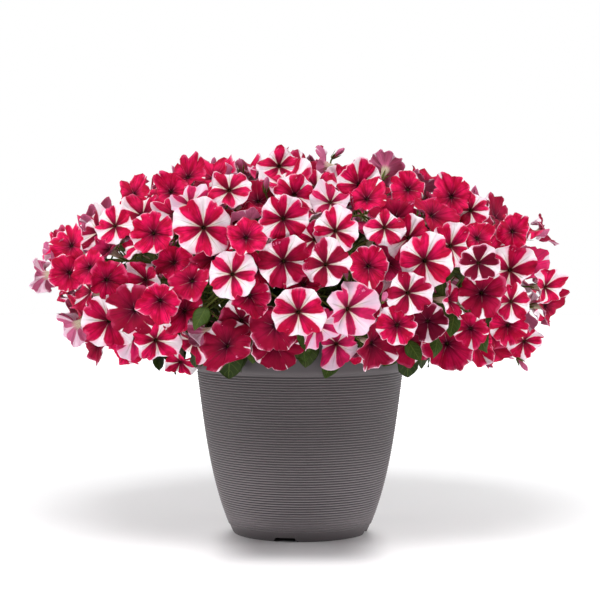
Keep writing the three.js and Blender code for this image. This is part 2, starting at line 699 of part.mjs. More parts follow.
function makeLeaf(centre, along, normal, length, widthShare, seed) {
  const across = normal.clone().cross(along).normalize();
  const leaf = { flat: true, centre, along, across, normal, length, width: length * widthShare, seed };
  leaf.axis = along;
  leaf.turnBack = LEAF_TURN_BACK;
  leaf.heel = centre.clone().addScaledVector(along, -length / 2);
  leaf.middle = centre.clone();
  leaf.tube = [leaf.heel];
  leaf.tubeRadius = STALK_RADIUS;
  leaf.samples = [centre.clone()];
  for (const at of [0.08, 0.2, 0.35, 0.5, 0.65, 0.8, 0.92]) {
    leaf.samples.push(leafPoint(leaf, at, 1, 0), leafPoint(leaf, at, -1, 0));
  }
  leaf.samples.push(leafPoint(leaf, 1, 0, 0));
  return leaf;
}

// A point of the blade: at runs from heel to tip, aside from -1 to 1 over its width, lift off its plane.
function leafPoint(leaf, at, aside, lift) {
  const halfWidth = (leaf.width / 2) * Math.sin(Math.PI * at ** LEAF_OUTLINE[0]) ** LEAF_OUTLINE[1];
  const curl = -LEAF_CURL * leaf.length * (2 * at - 1) ** 2;
  const phase = LEAF_WAVES * at + 6 * draw(leaf.seed, 8) + aside;
  const wave = LEAF_WAVE * leaf.length * Math.abs(aside) * Math.sin(phase);
  return leaf.centre
    .clone()
    .addScaledVector(leaf.along, (at - 0.5) * leaf.length)
    .addScaledVector(leaf.across, aside * halfWidth)
    .addScaledVector(leaf.normal, lift + curl + wave);
}

function leafRings(leaf) {
  const heelPoint = leafPoint(leaf, 0, 0, 0);
  const path = [leafPoint(leaf, 0.1, 0, 0), heelPoint, leaf.root];
  const [, heel, root] = pathRings(path, [1, STALK_RADIUS, 1], STALK_SIDES, leaf.across);
  const thick = LEAF_THICKNESS / 2;
  const blade = LEAF_RINGS.map((at) => [
    leafPoint(leaf, at, 1, 0),
    leafPoint(leaf, at, 0, thick),
    leafPoint(leaf, at, -1, 0),
    leafPoint(leaf, at, 0, -thick),
  ]);
  return { root, heel, blade, tip: leafPoint(leaf, 1, 0, 0) };
}

function addLeaf(skin, leaf, hole) {
  const { heel, blade, tip } = leafRings(leaf);
  const rings = blade.map((ring) => addRing(skin, ring));
  bridgeAll(skin, [hole, addRing(skin, heel), rings[0]]);
  for (let i = 0; i + 1 < rings.length; i += 1) bridgeBlade(skin, rings[i], rings[i + 1]);
  bridge(skin, rings[rings.length - 1], addRing(skin, [tip]));
}

// Joins two rings across a blade, edge, top, edge, underside, with both of its faces split alike.
function bridgeBlade(skin, [edge, top, farEdge, under], [nextEdge, nextTop, nextFarEdge, nextUnder]) {
  skin.faces.push([edge, top, nextEdge], [top, nextTop, nextEdge]);
  skin.faces.push([top, farEdge, nextFarEdge], [top, nextFarEdge, nextTop]);
  skin.faces.push([farEdge, under, nextFarEdge], [under, nextUnder, nextFarEdge]);
  skin.faces.push([under, edge, nextEdge], [under, nextEdge, nextUnder]);
}

// Buds: a closed spindle on a stalk

function makeBud(centre, axis, seed) {
  const [side, over] = squareTo(axis);
  const heel = centre.clone().addScaledVector(axis, -BUD_LENGTH / 2);
  const tip = centre.clone().addScaledVector(axis, BUD_LENGTH / 2);
  const bud = { centre, side, over, axis, heel, seed, middle: centre.clone(), tubeRadius: BUD_RADIUS };
  bud.turnBack = STALK_TURN_BACK;
  bud.tube = alongPath([heel, tip], TUBE_SWEEP);
  bud.samples = [...bud.tube];
  return bud;
}

function budRings(bud) {
  const tip = bud.tube[bud.tube.length - 1];
  const shoulder = ringAt(bud, 4, () => BUD_RADIUS, () => BUD_LENGTH * BUD_SHOULDER, 0);
  const path = [bud.centre, bud.heel, bud.root];
  const [, heel, root] = pathRings(path, [1, TUBE_END_RADIUS, 1], STALK_SIDES, bud.side);
  return { root, rings: [heel, shoulder, [tip]] };
}

function addBud(skin, bud, hole) {
  bridgeAll(skin, [hole, ...budRings(bud).rings.map((ring) => addRing(skin, ring))]);
}

// Placing

// The direction a bloom on the front faces, from its turns to the right and up.
function facing(yaw, pitch) {
  const level = Math.cos(pitch * TURN);
  return vec(Math.sin(yaw * TURN) * level, -Math.cos(yaw * TURN) * level, Math.sin(pitch * TURN));
}

// Where the line of sight through a place on the upright plane meets the mound, or passes nearest to it.
function seenOnMound(x, z) {
  const eye = vec(0, -EYE.distance, EYE.height);
  const sight = vec(x, 0, z).sub(eye).normalize();
  let nearest = { field: Infinity };
  const end = EYE.distance + SIGHT.behind;
  for (let s = EYE.distance - MOUND.y - SIGHT.before; s < end; s += SIGHT.step) {
    const point = eye.clone().addScaledVector(sight, s);
    const field = moundField(point, 0);
    if (field < nearest.field) nearest = { field, point };
    if (field < 0) break;
  }
  return { point: nearest.point, sight };
}

// The order in which depths behind the mound's surface are tried; every third try is in front of it.
const depthOrder = Array.from({ length: DEPTH_TRIES }, (_, i) => {
  const third = Math.floor(i / 3);
  return i % 3 === 2 ? -third - 1 : i - third;
});

function place(piece, placed, shoots, reach) {
  if (placed.some((other) => piece.centre.distanceTo(other.centre) < CENTRES_APART)) return false;
  if (!growFrom(piece, shoots, reach)) return false;
  if (placed.some((other) => touches(piece, other))) return false;
  piece.hold.free = false;
  placed.push(piece);
  return true;
}

function placeFrontBlooms(placed, shoots) {
  FRONT_BLOOMS.forEach(([x, z, width, yaw, pitch, sinus], index) => {
    const { point, sight } = seenOnMound(x, z);
    const axis = facing(yaw, pitch);
    for (const size of FRONT_SIZES) {
      const across = width * size;
      for (const step of depthOrder) {
        const throat = point.clone().addScaledVector(sight, FUNNEL * across * 0.5 + step * DEPTH_STEP);
        const centre = throat.addScaledVector(axis, (FUNNEL * across) / 2);
        const bloom = makeBloom(centre, axis, across, sinus, index);
        if (place(bloom, placed, shoots, FRONT_REACH)) return;
      }
    }
  });
}

function placeLeavesAt(rows, placed, shoots) {
  rows.forEach(([x, z, length, widthShare, tipAngle, yaw, pitch], index) => {
    const { point, sight } = seenOnMound(x, z);
    const clear = COLLAR_RADIUS + HANG_CLEAR;
    while (Math.hypot(point.x, point.y) < clear) point.addScaledVector(sight, -SIGHT.step);
    const normal = facing(yaw, pitch);
    const along = vec(Math.cos(tipAngle * TURN), 0, Math.sin(tipAngle * TURN));
    along.addScaledVector(normal, -along.dot(normal)).normalize();
    for (const step of depthOrder) {
      const centre = point.clone().addScaledVector(sight, step * DEPTH_STEP);
      const leaf = makeLeaf(centre, along, normal, length, widthShare, index);
      if (place(leaf, placed, shoots, FRONT_REACH)) return;
    }
  });
}

function placeFrontBuds(placed, shoots) {
  FRONT_BUDS.forEach(([x, z, yaw, pitch], index) => {
    const { point, sight } = seenOnMound(x, z);
    for (const step of depthOrder) {
      const centre = point.clone().addScaledVector(sight, step * DEPTH_STEP);
      if (place(makeBud(centre, facing(yaw, pitch), index), placed, shoots, FRONT_REACH)) return;
    }
  });
}

// Lines of sight to the mound from all round: where each starts, its way, and how far off the mound is.
function makeSights() {
  const sights = [];
  const target = vec(0, 0, MOUND.level);
  for (const [azimuth, height, weight] of LOOKS) {
    const back = facing(azimuth, height);
    const right = vec(Math.cos(azimuth * TURN), Math.sin(azimuth * TURN), 0);
    const over = back.clone().cross(right);
    const eye = target.clone().addScaledVector(back, EYE.distance);
    for (let u = -LOOK_SPAN; u <= LOOK_SPAN; u += LOOK_STEP) {
      for (let v = -LOOK_SPAN; v <= LOOK_SPAN; v += LOOK_STEP) {
        const way = target.clone().addScaledVector(right, u).addScaledVector(over, v).sub(eye).normalize();
        const reach = reachOfMound(eye, way);
        if (reach < Infinity) sights.push({ eye, way, reach, weight, open: true });
      }
    }
  }
  return sights;
}

function reachOfMound(eye, way) {
  const point = vec(0, 0, 0);
  for (let s = EYE.distance - MOUND.x - SIGHT.before; s < EYE.distance + MOUND.x; s += SIGHT.far) {
    if (moundField(point.copy(eye).addScaledVector(way, s), 0) < 0) return s;
  }
  return Infinity;
}

// The open lines of sight that a bloom's limb would close.
function closedBy(bloom, sights) {
  const middle = bloom.centre.clone().addScaledVector(bloom.axis, -FUNNEL * bloom.radius * HIDING_LEVEL);
  const radius = bloom.radius * HIDING_SHARE;
  const v = vec(0, 0, 0);
  return sights.filter((sight) => {
    if (!sight.open) return false;
    const slant = sight.way.dot(bloom.axis);
    if (Math.abs(slant) < EDGE_ON) return false;
    const s = v.copy(middle).sub(sight.eye).dot(bloom.axis) / slant;
    if (s > sight.reach + LOOK_DEPTH) return false;
    return v.addScaledVector(sight.way, -s).lengthSq() < radius * radius;
  });
}

// The way a fill bloom faces: out from the mound, partly to who looks at it, and tilted at random.
function fillAxis({ eye, way, reach }, seed) {
  const axis = moundNormal(eye.clone().addScaledVector(way, reach));
  axis.z = axis.z < 0 ? axis.z * FILL_DROOP : axis.z;
  const tilt = vec(draw(seed, 2) - 0.5, draw(seed, 3) - 0.5, draw(seed, 4) - 0.5);
  return axis.addScaledVector(way, -FILL_TO_EYE).addScaledVector(tilt, FILL_TILT).normalize();
}

// Places one fill bloom on a line of sight, at the first depth with room, if it hides enough.
function placeFillBloom(sight, sights, least, seed, placed, shoots) {
  const axis = fillAxis(sight, seed);
  const width = mix(FILL_WIDTH[0], FILL_WIDTH[1], draw(seed, 5));
  const first = Math.floor(draw(seed, 1) * FILL_DEPTHS.length);
  for (let i = 0; i < FILL_DEPTHS.length; i += 1) {
    const depth = FILL_DEPTHS[(first + i * 2) % FILL_DEPTHS.length];
    const centre = sight.eye.clone().addScaledVector(sight.way, sight.reach + depth);
    const bloom = makeBloom(centre, axis, width, draw(seed, 6) * 72, seed);
    const closed = closedBy(bloom, sights);
    if (closed.reduce((sum, one) => sum + one.weight, 0) < least) return false;
    if (place(bloom, placed, shoots, FILL_REACH)) {
      for (const one of closed) one.open = false;
      return true;
    }
  }
  return false;
}

function placeFillBlooms(placed, shoots) {
  const sights = makeSights();
  for (const piece of placed.filter((one) => one.limb)) {
    for (const sight of closedBy(piece, sights)) sight.open = false;
  }
  let count = 0;
  let seed = FILL_SEED;
  for (const least of FILL_GAINS) {
    for (let i = 0; i < FILL_TRIES && count < FILL_COUNT; i += 1) {
      seed += 1;
      const sight = sights[Math.floor(draw(seed, 0) * sights.length)];
      if (sight.open && placeFillBloom(sight, sights, least, seed, placed, shoots)) count += 1;
    }
  }
}

function placeLeaves(placed, shoots) {
  let count = 0;
  for (let i = 0; i < LEAF_TRIES && count < LEAF_COUNT; i += 1) {
    const seed = LEAF_SEED + i;
    const azimuth = draw(seed, 0) * 2 * Math.PI;
    const rise = mix(-LEAF_HIGHEST, LEAF_HIGHEST, draw(seed, 1));
    const centre = moundPoint(azimuth, rise, mix(LEAF_DEPTH[0], LEAF_DEPTH[1], draw(seed, 2)));
    const out = moundNormal(centre);
    const tilt = vec(draw(seed, 3) - 0.5, draw(seed, 4) - 0.5, draw(seed, 5) - 0.5);
    const normal = out.clone().addScaledVector(UP, LEAF_UPWARD).addScaledVector(tilt, LEAF_TILT).normalize();
    const sweep = vec(draw(seed, 6) - 0.5, draw(seed, 7) - 0.5, -LEAF_DROOP);
    const along = out.clone().addScaledVector(sweep, LEAF_SWEEP);
    along.addScaledVector(normal, -along.dot(normal)).normalize();
    const length = mix(LEAF_LENGTH[0], LEAF_LENGTH[1], draw(seed, 9));
    const leaf = makeLeaf(centre, along, normal, length, LEAF_WIDTH, seed);
    if (place(leaf, placed, shoots, LEAF_REACH)) count += 1;
  }
}

function placeBuds(placed, shoots) {
  let count = 0;
  for (let i = 0; i < BUD_TRIES && count < BUD_COUNT; i += 1) {
    const seed = BUD_SEED + i;
    const azimuth = draw(seed, 0) * 2 * Math.PI;
    const centre = moundPoint(azimuth, mix(BUD_LOWEST, 1, draw(seed, 1)), BUD_DEPTH);
    const axis = moundNormal(centre).addScaledVector(UP, BUD_UPWARD).normalize();
    if (place(makeBud(centre, axis, seed), placed, shoots, BUD_REACH)) count += 1;
  }
}

// The whole plant

function growShoots() {
  const shoots = Array.from({ length: SHOOT_COUNT }, (_, i) => makeShoot(i));
  const placed = [];
  placeLeavesAt(HANGING_LEAVES, placed, shoots);
  placeFrontBlooms(placed, shoots);
  placeLeavesAt(FRONT_LEAVES, placed, shoots);
  placeFrontBuds(placed, shoots);
  placeFillBlooms(placed, shoots);
  placeLeaves(placed, shoots);
  placeBuds(placed, shoots);
  for (const piece of placed) piece.shoot.carried.push(piece);
  return shoots;
}

function ringsOf(piece) {
  if (piece.limb) return bloomRings(piece);
  return piece.flat ? leafRings(piece) : budRings(piece);
}

function addPiece(skin, piece, hole) {
  if (piece.limb) addBloom(skin, piece, hole);
  else if (piece.flat) addLeaf(skin, piece, hole);
  else addBud(skin, piece, hole);
}

// One side of one step of a stem, as a flat patch: u runs up the stem and v across the side.
function stemSide(rings, step, side) {
  const next = (side + 1) % STEM_SIDES;
  const [a0, a1] = [rings[step][side], rings[step + 1][side]];
  const [b0, b1] = [rings[step][next], rings[step + 1][next]];
  const length = a0.distanceTo(a1);
  const width = (a0.distanceTo(b0) + a1.distanceTo(b1)) / 2;
  const up = a1.clone().sub(a0).normalize();
  const across = b0.clone().sub(a0).normalize();
  const out = up.clone().cross(across);
  const at = (u, v) => a0.clone().lerp(a1, u / length).lerp(b0.clone().lerp(b1, u / length), v / width);
  return { length, width, up, across, out, at };
}

// The three-cornered hole that a stalk grows out of, in a side's own u and v, turning as the stalk does.
function stalkHole(side, piece) {
  const { root } = ringsOf(piece);
  const radius = side.width * HOLE_SHARE;
  return root.map((p) => {
    const edge = p.clone().sub(piece.root);
    const flat = new THREE.Vector2(edge.dot(side.up), edge.dot(side.across)).setLength(radius);
    return flat.add(new THREE.Vector2(piece.hold.share * side.length, side.width / 2));
  });
}

// A shoot: a stem of flat sides, with every stalk grown out of a hole in the side that faces it most.
function makeShootSkin(shoot) {
  const skin = { points: [], faces: [] };
  const { rings } = shoot;
  const marks = rings.map((ring) => addRing(skin, ring));
  const [foot, top] = [marks[0], marks[marks.length - 1]];
  for (let i = 2; i < STEM_SIDES; i += 1) {
    skin.faces.push([foot[0], foot[i - 1], foot[i]], [top[0], top[i], top[i - 1]]);
  }
  for (let step = 0; step + 1 < rings.length; step += 1) {
    const sides = Array.from({ length: STEM_SIDES }, (_, side) => stemSide(rings, step, side));
    const here = shoot.carried.filter((piece) => piece.hold.step === step);
    const chosen = here.map((piece) => {
      const away = piece.heel.clone().sub(piece.root);
      const outward = sides.map((side) => side.out.dot(away));
      return outward.indexOf(Math.max(...outward));
    });
    sides.forEach((side, index) => {
      const next = (index + 1) % STEM_SIDES;
      const corners = [marks[step][index], marks[step + 1][index], marks[step + 1][next], marks[step][next]];
      const pieces = here.filter((_, i) => chosen[i] === index);
      addStemSide(skin, side, corners, pieces);
    });
  }
  return skin;
}

function addStemSide(skin, side, corners, pieces) {
  const { length, width } = side;
  const outline = [
    new THREE.Vector2(0, 0),
    new THREE.Vector2(length, 0),
    new THREE.Vector2(length, width),
    new THREE.Vector2(0, width),
  ];
  const holes = pieces.map((piece) => stalkHole(side, piece));
  const holeMarks = holes.map((hole) => addRing(skin, hole.map((p) => side.at(p.x, p.y))));
  const flat = [...outline, ...holes.flat()];
  const marks = [...corners, ...holeMarks.flat()];
  for (const [i, j, k] of THREE.ShapeUtils.triangulateShape(outline, holes)) {
    const turn = flat[j].clone().sub(flat[i]).cross(flat[k].clone().sub(flat[i]));
    skin.faces.push(turn > 0 ? [marks[i], marks[j], marks[k]] : [marks[i], marks[k], marks[j]]);
  }
  pieces.forEach((piece, i) => addPiece(skin, piece, holeMarks[i]));
}

function makeSoil(shoots) {
  const profile = [[0, FLOOR_TOP + GAP]];
  const edge = (z) => (innerRadius(z) - GAP) * Math.cos(Math.PI / SOIL_SIDES / 2) - GAP;
  for (const z of [...INNER_LEVELS, SOIL_TOP - SOIL_SHOULDER.drop]) {
    profile.push([edge(z) - (z === FLOOR_TOP ? GAP * 3 : 0), Math.max(z, FLOOR_TOP + GAP)]);
  }
  profile.push([SOIL_SHOULDER.radius, SOIL_TOP]);
  profile.push([SOIL_MOUND.radius, SOIL_TOP + SOIL_MOUND.rise]);
  profile.push([0, SOIL_TOP]);
  const rings = profile.map(([r, z]) => new THREE.Vector2(r, z));
  let soil = turned(rings, SOIL_SIDES);
  for (const shoot of shoots) {
    const [root] = shoot.path;
    const radius = STEM_ROOT_RADIUS + GAP * 2;
    const hole = new THREE.CylinderGeometry(radius, radius, ROOT_DEPTH * 2, STEM_SIDES)
      .rotateX(Math.PI / 2)
      .rotateZ(shoot.azimuth + Math.PI / 2)
      .translate(root.x, root.y, root.z + ROOT_DEPTH - GAP);
    soil = soil.subtract(toSolid(hole));
  }
  return soil;
}

function meshOf(name, geometry, colour, roughness) {
  const material = new THREE.MeshStandardMaterial({ color: colour, roughness, metalness: 0 });
  const mesh = new THREE.Mesh(geometry, material);
  mesh.name = name;
  return mesh;
}

const shoots = growShoots();
const group = new THREE.Group();
group.add(meshOf("pot", toGeometry(makePot()), COLOURS.pot, 0.55));
group.add(meshOf("soil", toGeometry(makeSoil(shoots)), COLOURS.soil, 0.95));
for (const shoot of shoots) {
  const name = `shoot_${String(shoot.index + 1).padStart(2, "0")}`;
  group.add(meshOf(name, skinGeometry(makeShootSkin(shoot)), COLOURS.shoot, 0.7));
}

export default group;
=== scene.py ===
# A spreading petunia in a ribbed plastic pot, dressed over its frame: every bloom, leaf, bud and stem of
# the frame gets its finer piece in the same place. Metres, +Z up, and the side that the camera sees is -Y.
import math

import bmesh
import bpy
import numpy as np
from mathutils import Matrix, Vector


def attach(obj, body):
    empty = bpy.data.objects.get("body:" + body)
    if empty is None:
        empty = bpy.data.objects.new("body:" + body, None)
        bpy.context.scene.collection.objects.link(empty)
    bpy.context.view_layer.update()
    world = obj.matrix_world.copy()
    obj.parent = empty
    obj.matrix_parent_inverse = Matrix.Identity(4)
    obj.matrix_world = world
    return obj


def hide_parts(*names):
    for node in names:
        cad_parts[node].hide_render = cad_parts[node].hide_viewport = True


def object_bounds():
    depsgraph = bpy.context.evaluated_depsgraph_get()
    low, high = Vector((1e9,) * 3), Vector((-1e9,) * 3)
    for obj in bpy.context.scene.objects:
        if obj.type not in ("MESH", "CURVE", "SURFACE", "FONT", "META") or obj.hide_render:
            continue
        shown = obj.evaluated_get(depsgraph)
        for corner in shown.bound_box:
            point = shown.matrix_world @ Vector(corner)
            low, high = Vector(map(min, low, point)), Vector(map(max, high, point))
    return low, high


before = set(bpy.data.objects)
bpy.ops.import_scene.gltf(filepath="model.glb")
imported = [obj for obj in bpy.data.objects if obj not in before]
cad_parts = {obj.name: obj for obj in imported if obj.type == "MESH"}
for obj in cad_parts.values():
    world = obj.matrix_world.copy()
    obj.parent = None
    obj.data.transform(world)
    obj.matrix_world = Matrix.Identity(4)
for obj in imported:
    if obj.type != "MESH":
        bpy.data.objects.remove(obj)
FRAME_BOX = [list(corner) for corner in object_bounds()]
SHOOTS = sorted(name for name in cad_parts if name.startswith("shoot_"))
UP = np.array([0.0, 0.0, 1.0])

# Pot, as in the frame
FOOT_RADIUS = 0.084
FOOT_RING_WIDTH = 0.006
BODY_TOP = 0.205
BODY_FLARE = 0.046
FLARE_STRAIGHT = 0.42
FLARE_LENGTH = 0.07
COLLAR_RADIUS = 0.1336
RIM_HEIGHT = 0.255
WALL = 0.0035
RIM_WIDTH = 0.005
FLOOR_UNDERSIDE = 0.005
NOTCH = {"width": 0.031, "top_width": 0.024, "height": 0.005, "first_angle": -102.4, "count": 4}
DRAIN = {"radius": 0.005, "circle": 0.052, "count": 4, "sides": 20}

# Its fine ribs, and the wall between them
RIB_COUNT = 62
RIB_LOWEST = 0.0125
RIBS_END = BODY_TOP - 0.0015
RIB_PITCH = (RIBS_END - RIB_LOWEST) / RIB_COUNT
RIB_PROUD = 0.0014  # half thickness of a rib, outwards
RIB_HALF_HEIGHT = 0.00088
RIB_SUNK = 0.0003  # how far a rib's middle lies inside the wall
RIB_SIDES = 8
WALL_SUNK = 0.0008  # how far the wall between the ribs lies inside the frame's
WALL_ROWS = 26
TURN_STEPS = 96
CUT_PAST = 0.002  # how far a notch's cutter goes past the foot ring, below and inside
SHARP_ANGLE = 32

# Stems, as in the frame or a little finer
GOLDEN_ANGLE = math.pi * (3 - math.sqrt(5))
FIRST_SHOOT = 0.4
SOIL_TOP = 0.230
ROOT_DEPTH = 0.022
ROOT_CIRCLE = 0.104
STEM_ROOT_RADIUS = 0.0034
STEM_TIP_RADIUS = 0.0017
STEM_STEPS = 6
STEM_POINTS = 40
STEM_OUT = (0.06, 0.62)
STEM_RISE = 0.8
STEM_CREST = 0.006
CANOPY_DEPTH = 0.052
SKIRT_DEPTH = 0.4
SKIRT_ANGLE = math.radians(112)
SKIRT_SHARE = 0.62
ARCH_HEIGHT = 0.306
MOUND = {"x": 0.318, "y": 0.292, "level": 0.314, "up": 0.148, "down_side": 0.104, "down_front": 0.078}
STALK_RADIUS = 0.0011
STALK_SUNK = 0.001  # how deep in the stem it starts
STALK_BEND = (0.28, 0.009)  # how far from its end it bends, over its length, and at most
STALK_POINTS = 9
TUBE_SIDES = 7
TUBE_STEP = 0.005

# What tells the frame's blooms, leaves and buds from one another
SAME_LENGTH = 2e-5
LEAF_TIP_EDGE = (0.005, 0.02)
BLADE_DEPTH = 0.0018
BUD_TIP_EDGE = 0.01

# Blooms, as in the frame or a little finer
LOBES = 5
FUNNEL = 0.36
SINUS = 0.86
TUBE_LENGTH = 0.033
NECK_RADIUS = 0.0044
NECK_DEPTH = 0.004
TUBE_END_RADIUS = 0.0021
LIMB_CLEARANCE = 0.0012
LIMB_ROOM = {"front": 0.1, "back": 0.12, "edge": 1.03}  # for a limb's waves, over its radius

# Their finer form. What follows is over a bloom's radius, unless it says metres.
AROUND = 50
FRONT_STEPS = (0.075, 0.15, 0.26, 0.39, 0.53, 0.67, 0.80, 0.90, 0.96, 1.0)
BACK_STEPS = (0.99, 0.90, 0.70, 0.45, 0.24)
FUNNEL_CURVES = (1.15, 2.2)  # above 1: steep at the throat, flatter towards the edge
FUNNEL_CURVE = 1.6  # the usual one
INNER_TUBE = ((0.011, 0.5, -1.0), (0.006, 0.72, -0.5), (0.002, 0.92, -0.1))  # depth (metres), width, mark
INNER_TUBE_END = 0.0118  # metres
TUBE_STEPS = ((0.0, 0.08), (0.45, -0.1), (1.0, -0.6))  # share of the tube's length, and mark
LIMB_THICKNESS = (0.0015, 0.0006)  # at the throat and at the edge, metres
FULLNESS = 1.08  # how much wider a limb is than the frame's, so that neighbours overlap
LOBE_SIZE = (0.88, 1.06)
LOBE_CURL = (-0.18, 0.72)  # how far a lobe's edge is rolled back
LOBE_FOLD = (0.02, 0.17)  # depth of the groove along its middle
SUTURE = 0.08  # and of the one between two lobes
GROOVE_WIDTHS = (0.11, 0.07)  # of these two, in lobes
LOBE_TWIST = 0.16  # how far one half of a lobe stands above its other half
LIMB_TILT = 0.3  # how far the whole limb leans on its tube
SADDLE = (0.06, 0.30)  # and how far it is warped
RUFFLE = 0.0855  # height of the edge's waves
EDGE_WAVES = ((6, 1.0), (9, 0.7), (14, 0.4))  # how many go round the edge, and how high they are
SCALLOP = 0.028  # how far others show in its outline
SCALLOP_WAVES = (11, 4)
CURL_IN = 0.45  # how far a lobe that rolls back draws its edge in, over its curl
SINUS_CUT = (0.0, 0.13)  # how much further a sinus is cut in than in the frame
SINUS_WIDTH = 0.08
STIGMA = {"size": 0.0007, "reach": 0.0, "rise": 0.001}  # metres
ANTHER = {"size": 0.0006, "reach": 0.0012, "rise": 0.0}
ANTHER_LENGTH = 1.4  # over their width
ANTHER_DEPTH = 0.0005  # metres under the throat

# The white of the lobes
LEAST_WEDGE = 0.025  # white narrower than this doesn't show, in turns of a lobe
ARM_END = (0.36, 0.62)  # how fast a red arm is rounded off past its widest place
WHITE_START = (0.04, 0.78)  # how far out the white starts, on the whitest blooms and on the reddest

# The eye that the front was set out from, and how red the blooms seen from there are: the place of each
# on an upright plane through the pot's axis (mm), the share of it that is red, and its tone from fresh
# (0) to dark (1), or to faded mauve (-1).
EYE = (0.0, -2.2, 0.37)
SEEN = [
    (-120, 379, 0.50, 0.1), (-238, 263, 0.60, 0.2), (155, 338, 0.55, 0.0), (-2, 274, 0.50, 0.1),
    (135, 366, 0.45, 0.1), (261, 326, 0.50, 0.3), (59, 278, 0.30, -0.6), (-84, 321, 0.35, -0.1),
    (-180, 239, 0.50, 0.0), (187, 356, 0.50, 0.1), (-182, 372, 0.85, 0.1), (-21, 390, 0.60, 0.2),
    (-88, 425, 0.40, 0.0), (32, 333, 0.50, 0.5), (44, 375, 0.40, 0.1), (226, 298, 0.80, 0.4),
    (134, 298, 0.50, 0.4), (-63, 295, 0.85, 0.3), (-7, 419, 0.65, 0.2), (73, 432, 0.65, 0.0),
    (-26, 455, 0.45, 0.0), (-73, 264, 0.65, 0.5), (85, 331, 0.85, 0.2), (-174, 289, 0.95, 0.0),
    (-54, 326, 0.85, 0.1), (188, 417, 0.97, 0.0), (121, 258, 0.70, 0.0), (-181, 312, 0.60, 0.2),
    (-149, 212, 0.60, 0.0), (-230, 381, 0.50, 0.1), (18, 364, 0.50, 0.2), (259, 258, 0.80, 0.0),
    (21, 258, 0.25, -0.8), (4, 308, 0.92, 0.2), (105, 379, 0.50, 0.2), (220, 365, 0.97, 0.0),
    (264, 374, 0.95, 0.0), (213, 254, 0.75, 0.2), (212, 400, 0.50, 0.2),
    (-120, 249, 0.40, -0.7), (78, 224, 0.90, 0.1), (-160, 423, 0.95, 0.0), (-287, 323, 0.90, 0.2),
    (52, 433, 0.45, 0.0), (-261, 329, 0.90, 0.2), (-67, 366, 0.95, 0.0), (-215, 227, 0.80, 0.1),
    (279, 238, 0.60, 0.1), (-279, 258, 0.50, -0.6), (305, 305, 0.50, 0.0), (159, 263, 0.70, 0.7),
    (-241, 314, 0.90, 0.3), (106, 451, 0.90, 0.8), (-136, 407, 0.30, -0.6), (185, 289, 0.60, 0.3),
    (222, 335, 0.60, 0.7), (-317, 320, 0.40, -0.7), (38, 410, 0.40, -0.4), (-139, 441, 0.90, 0.2),
    (83, 414, 0.95, 0.1), (300, 374, 0.70, 0.6), (134, 426, 0.90, 0.1), (-206, 420, 0.90, 0.1),
    (263, 287, 0.50, 0.2), (-284, 356, 0.90, 0.1), (30, 456, 0.95, 0.3),
]
SEEN_REACH = 0.014  # a bloom this near to a listed place is that one
SEEN_DEEPEST = 0.12  # and none that stands further back
FULL_RED_SHARE = 0.66  # of the other blooms are almost wholly red
FULL_RED = (0.84, 0.99)
STARRED_RED = (0.38, 0.66)
FADED_SHARE = 0.07
FADED_TONE = -0.6
TONE_RANGE = 0.6
LOW_PAINTED_SHADE = 0.15  # painted shade: how much darker the lowest blooms are, between the two heights that follow
LOW_SPAN = (0.25, 0.38)

# Buds
BUD_ROWS = 9
BUD_AROUND = 10
BUD_RADIUS = (0.0019, 0.0016)  # at its foot, and how much more where it swells
BUD_TWIST = 1.4
BUD_PLEATS = {"count": 5, "depth": 0.16, "turn": 3}

# Leaves
LEAF_KNOTS = (0.0, 0.22, 0.5, 0.78, 1.0)  # the places along a blade that the frame gives
LEAF_ROWS = 11
LEAF_ENDS = (0.09, 0.96)  # the first and the last row between its ends
LEAF_AROUND = 10
LEAF_THICKNESS = 0.0007
LEAF_FOLD = 0.10  # how far a blade's halves are raised along the midrib, over their width
LEAF_RIPPLE = 0.05  # and how far its edges wave
LEAF_WAVES = 34  # how fast they do, in radians over its length
SPARE_LEAF_SPACING = 0.0105  # between the small leaves along a stem
SPARE_LEAF_FIRST = 0.03  # how far from its root end they start
SPARE_LEAF_LENGTH = (0.024, 0.044)
SPARE_LEAF_WIDTH = 0.66
SPARE_LEAF_AIM = (0.5, 0.25)  # how far it points along the stem and up, over how far outwards
SPARE_LEAF_FACE = (0.4, 0.2)  # how far its face leans outwards and along the stem, over how far up
SPARE_LEAF_BEND = 0.12  # how far a blade bends down towards its tip, over its length
SPARE_STALK = (0.004, 0.22)  # the least length of its stalk, and how much more, over its own
SPARE_STALK_RADIUS = 0.8  # over that of the other stalks
SPARE_LEAF_YOUNG = 0.35  # how pale the palest of them are
BLADE_POINTS = (0.75, 0.5)  # how pointed a small leaf is, and a hanging one
SPARE_LEAF_TRIES = 12
SPARE_LEAF_TURN = 1.9  # round the stem from one try to the next
SPARE_LEAF_SHRINK = 0.05  # how much smaller it gets with each try
SPARE_LEAF_DEPTH = 0.80  # how near to the mound's surface they come, over its own size
SPARE_LEAF_FREE = 0.275  # but below this height they come right out
AHEAD = 0.004  # the step along a stem that gives its direction
BOX_MARGIN = 0.004  # they stay this far inside the frame's box
WALL_SPACE = 0.003  # and this far off the pot's wall
SOIL_SPACE = 0.004
HANGING_SPAN = (0.138, 0.172)  # stems carry hanging leaves this far out from the pot's axis
HANGING_HIGHEST = 0.315
HANGING_STALK = (0.012, 0.052)
HANGING_LENGTH = (0.034, 0.046)
HANGING_WIDTH = 0.8
HANGING_TURN = 0.7  # how far they turn aside from facing straight outwards
HANGING_FACE = 0.3  # how far they face up, over how far outwards
HANGING_OUT = 0.15  # how far they hang outwards, over how far down
HANGING_SHADE = 0.55  # how much darker they are
HANGING_LEANS = (0.0, 0.3, -0.3, 0.65, -0.65)  # how far they hang aside, over how far they hang down
HANGING_REACHES = (1.0, 0.8, 0.5, 0.2)  # the lengths of stalk that are tried, over the drawn one

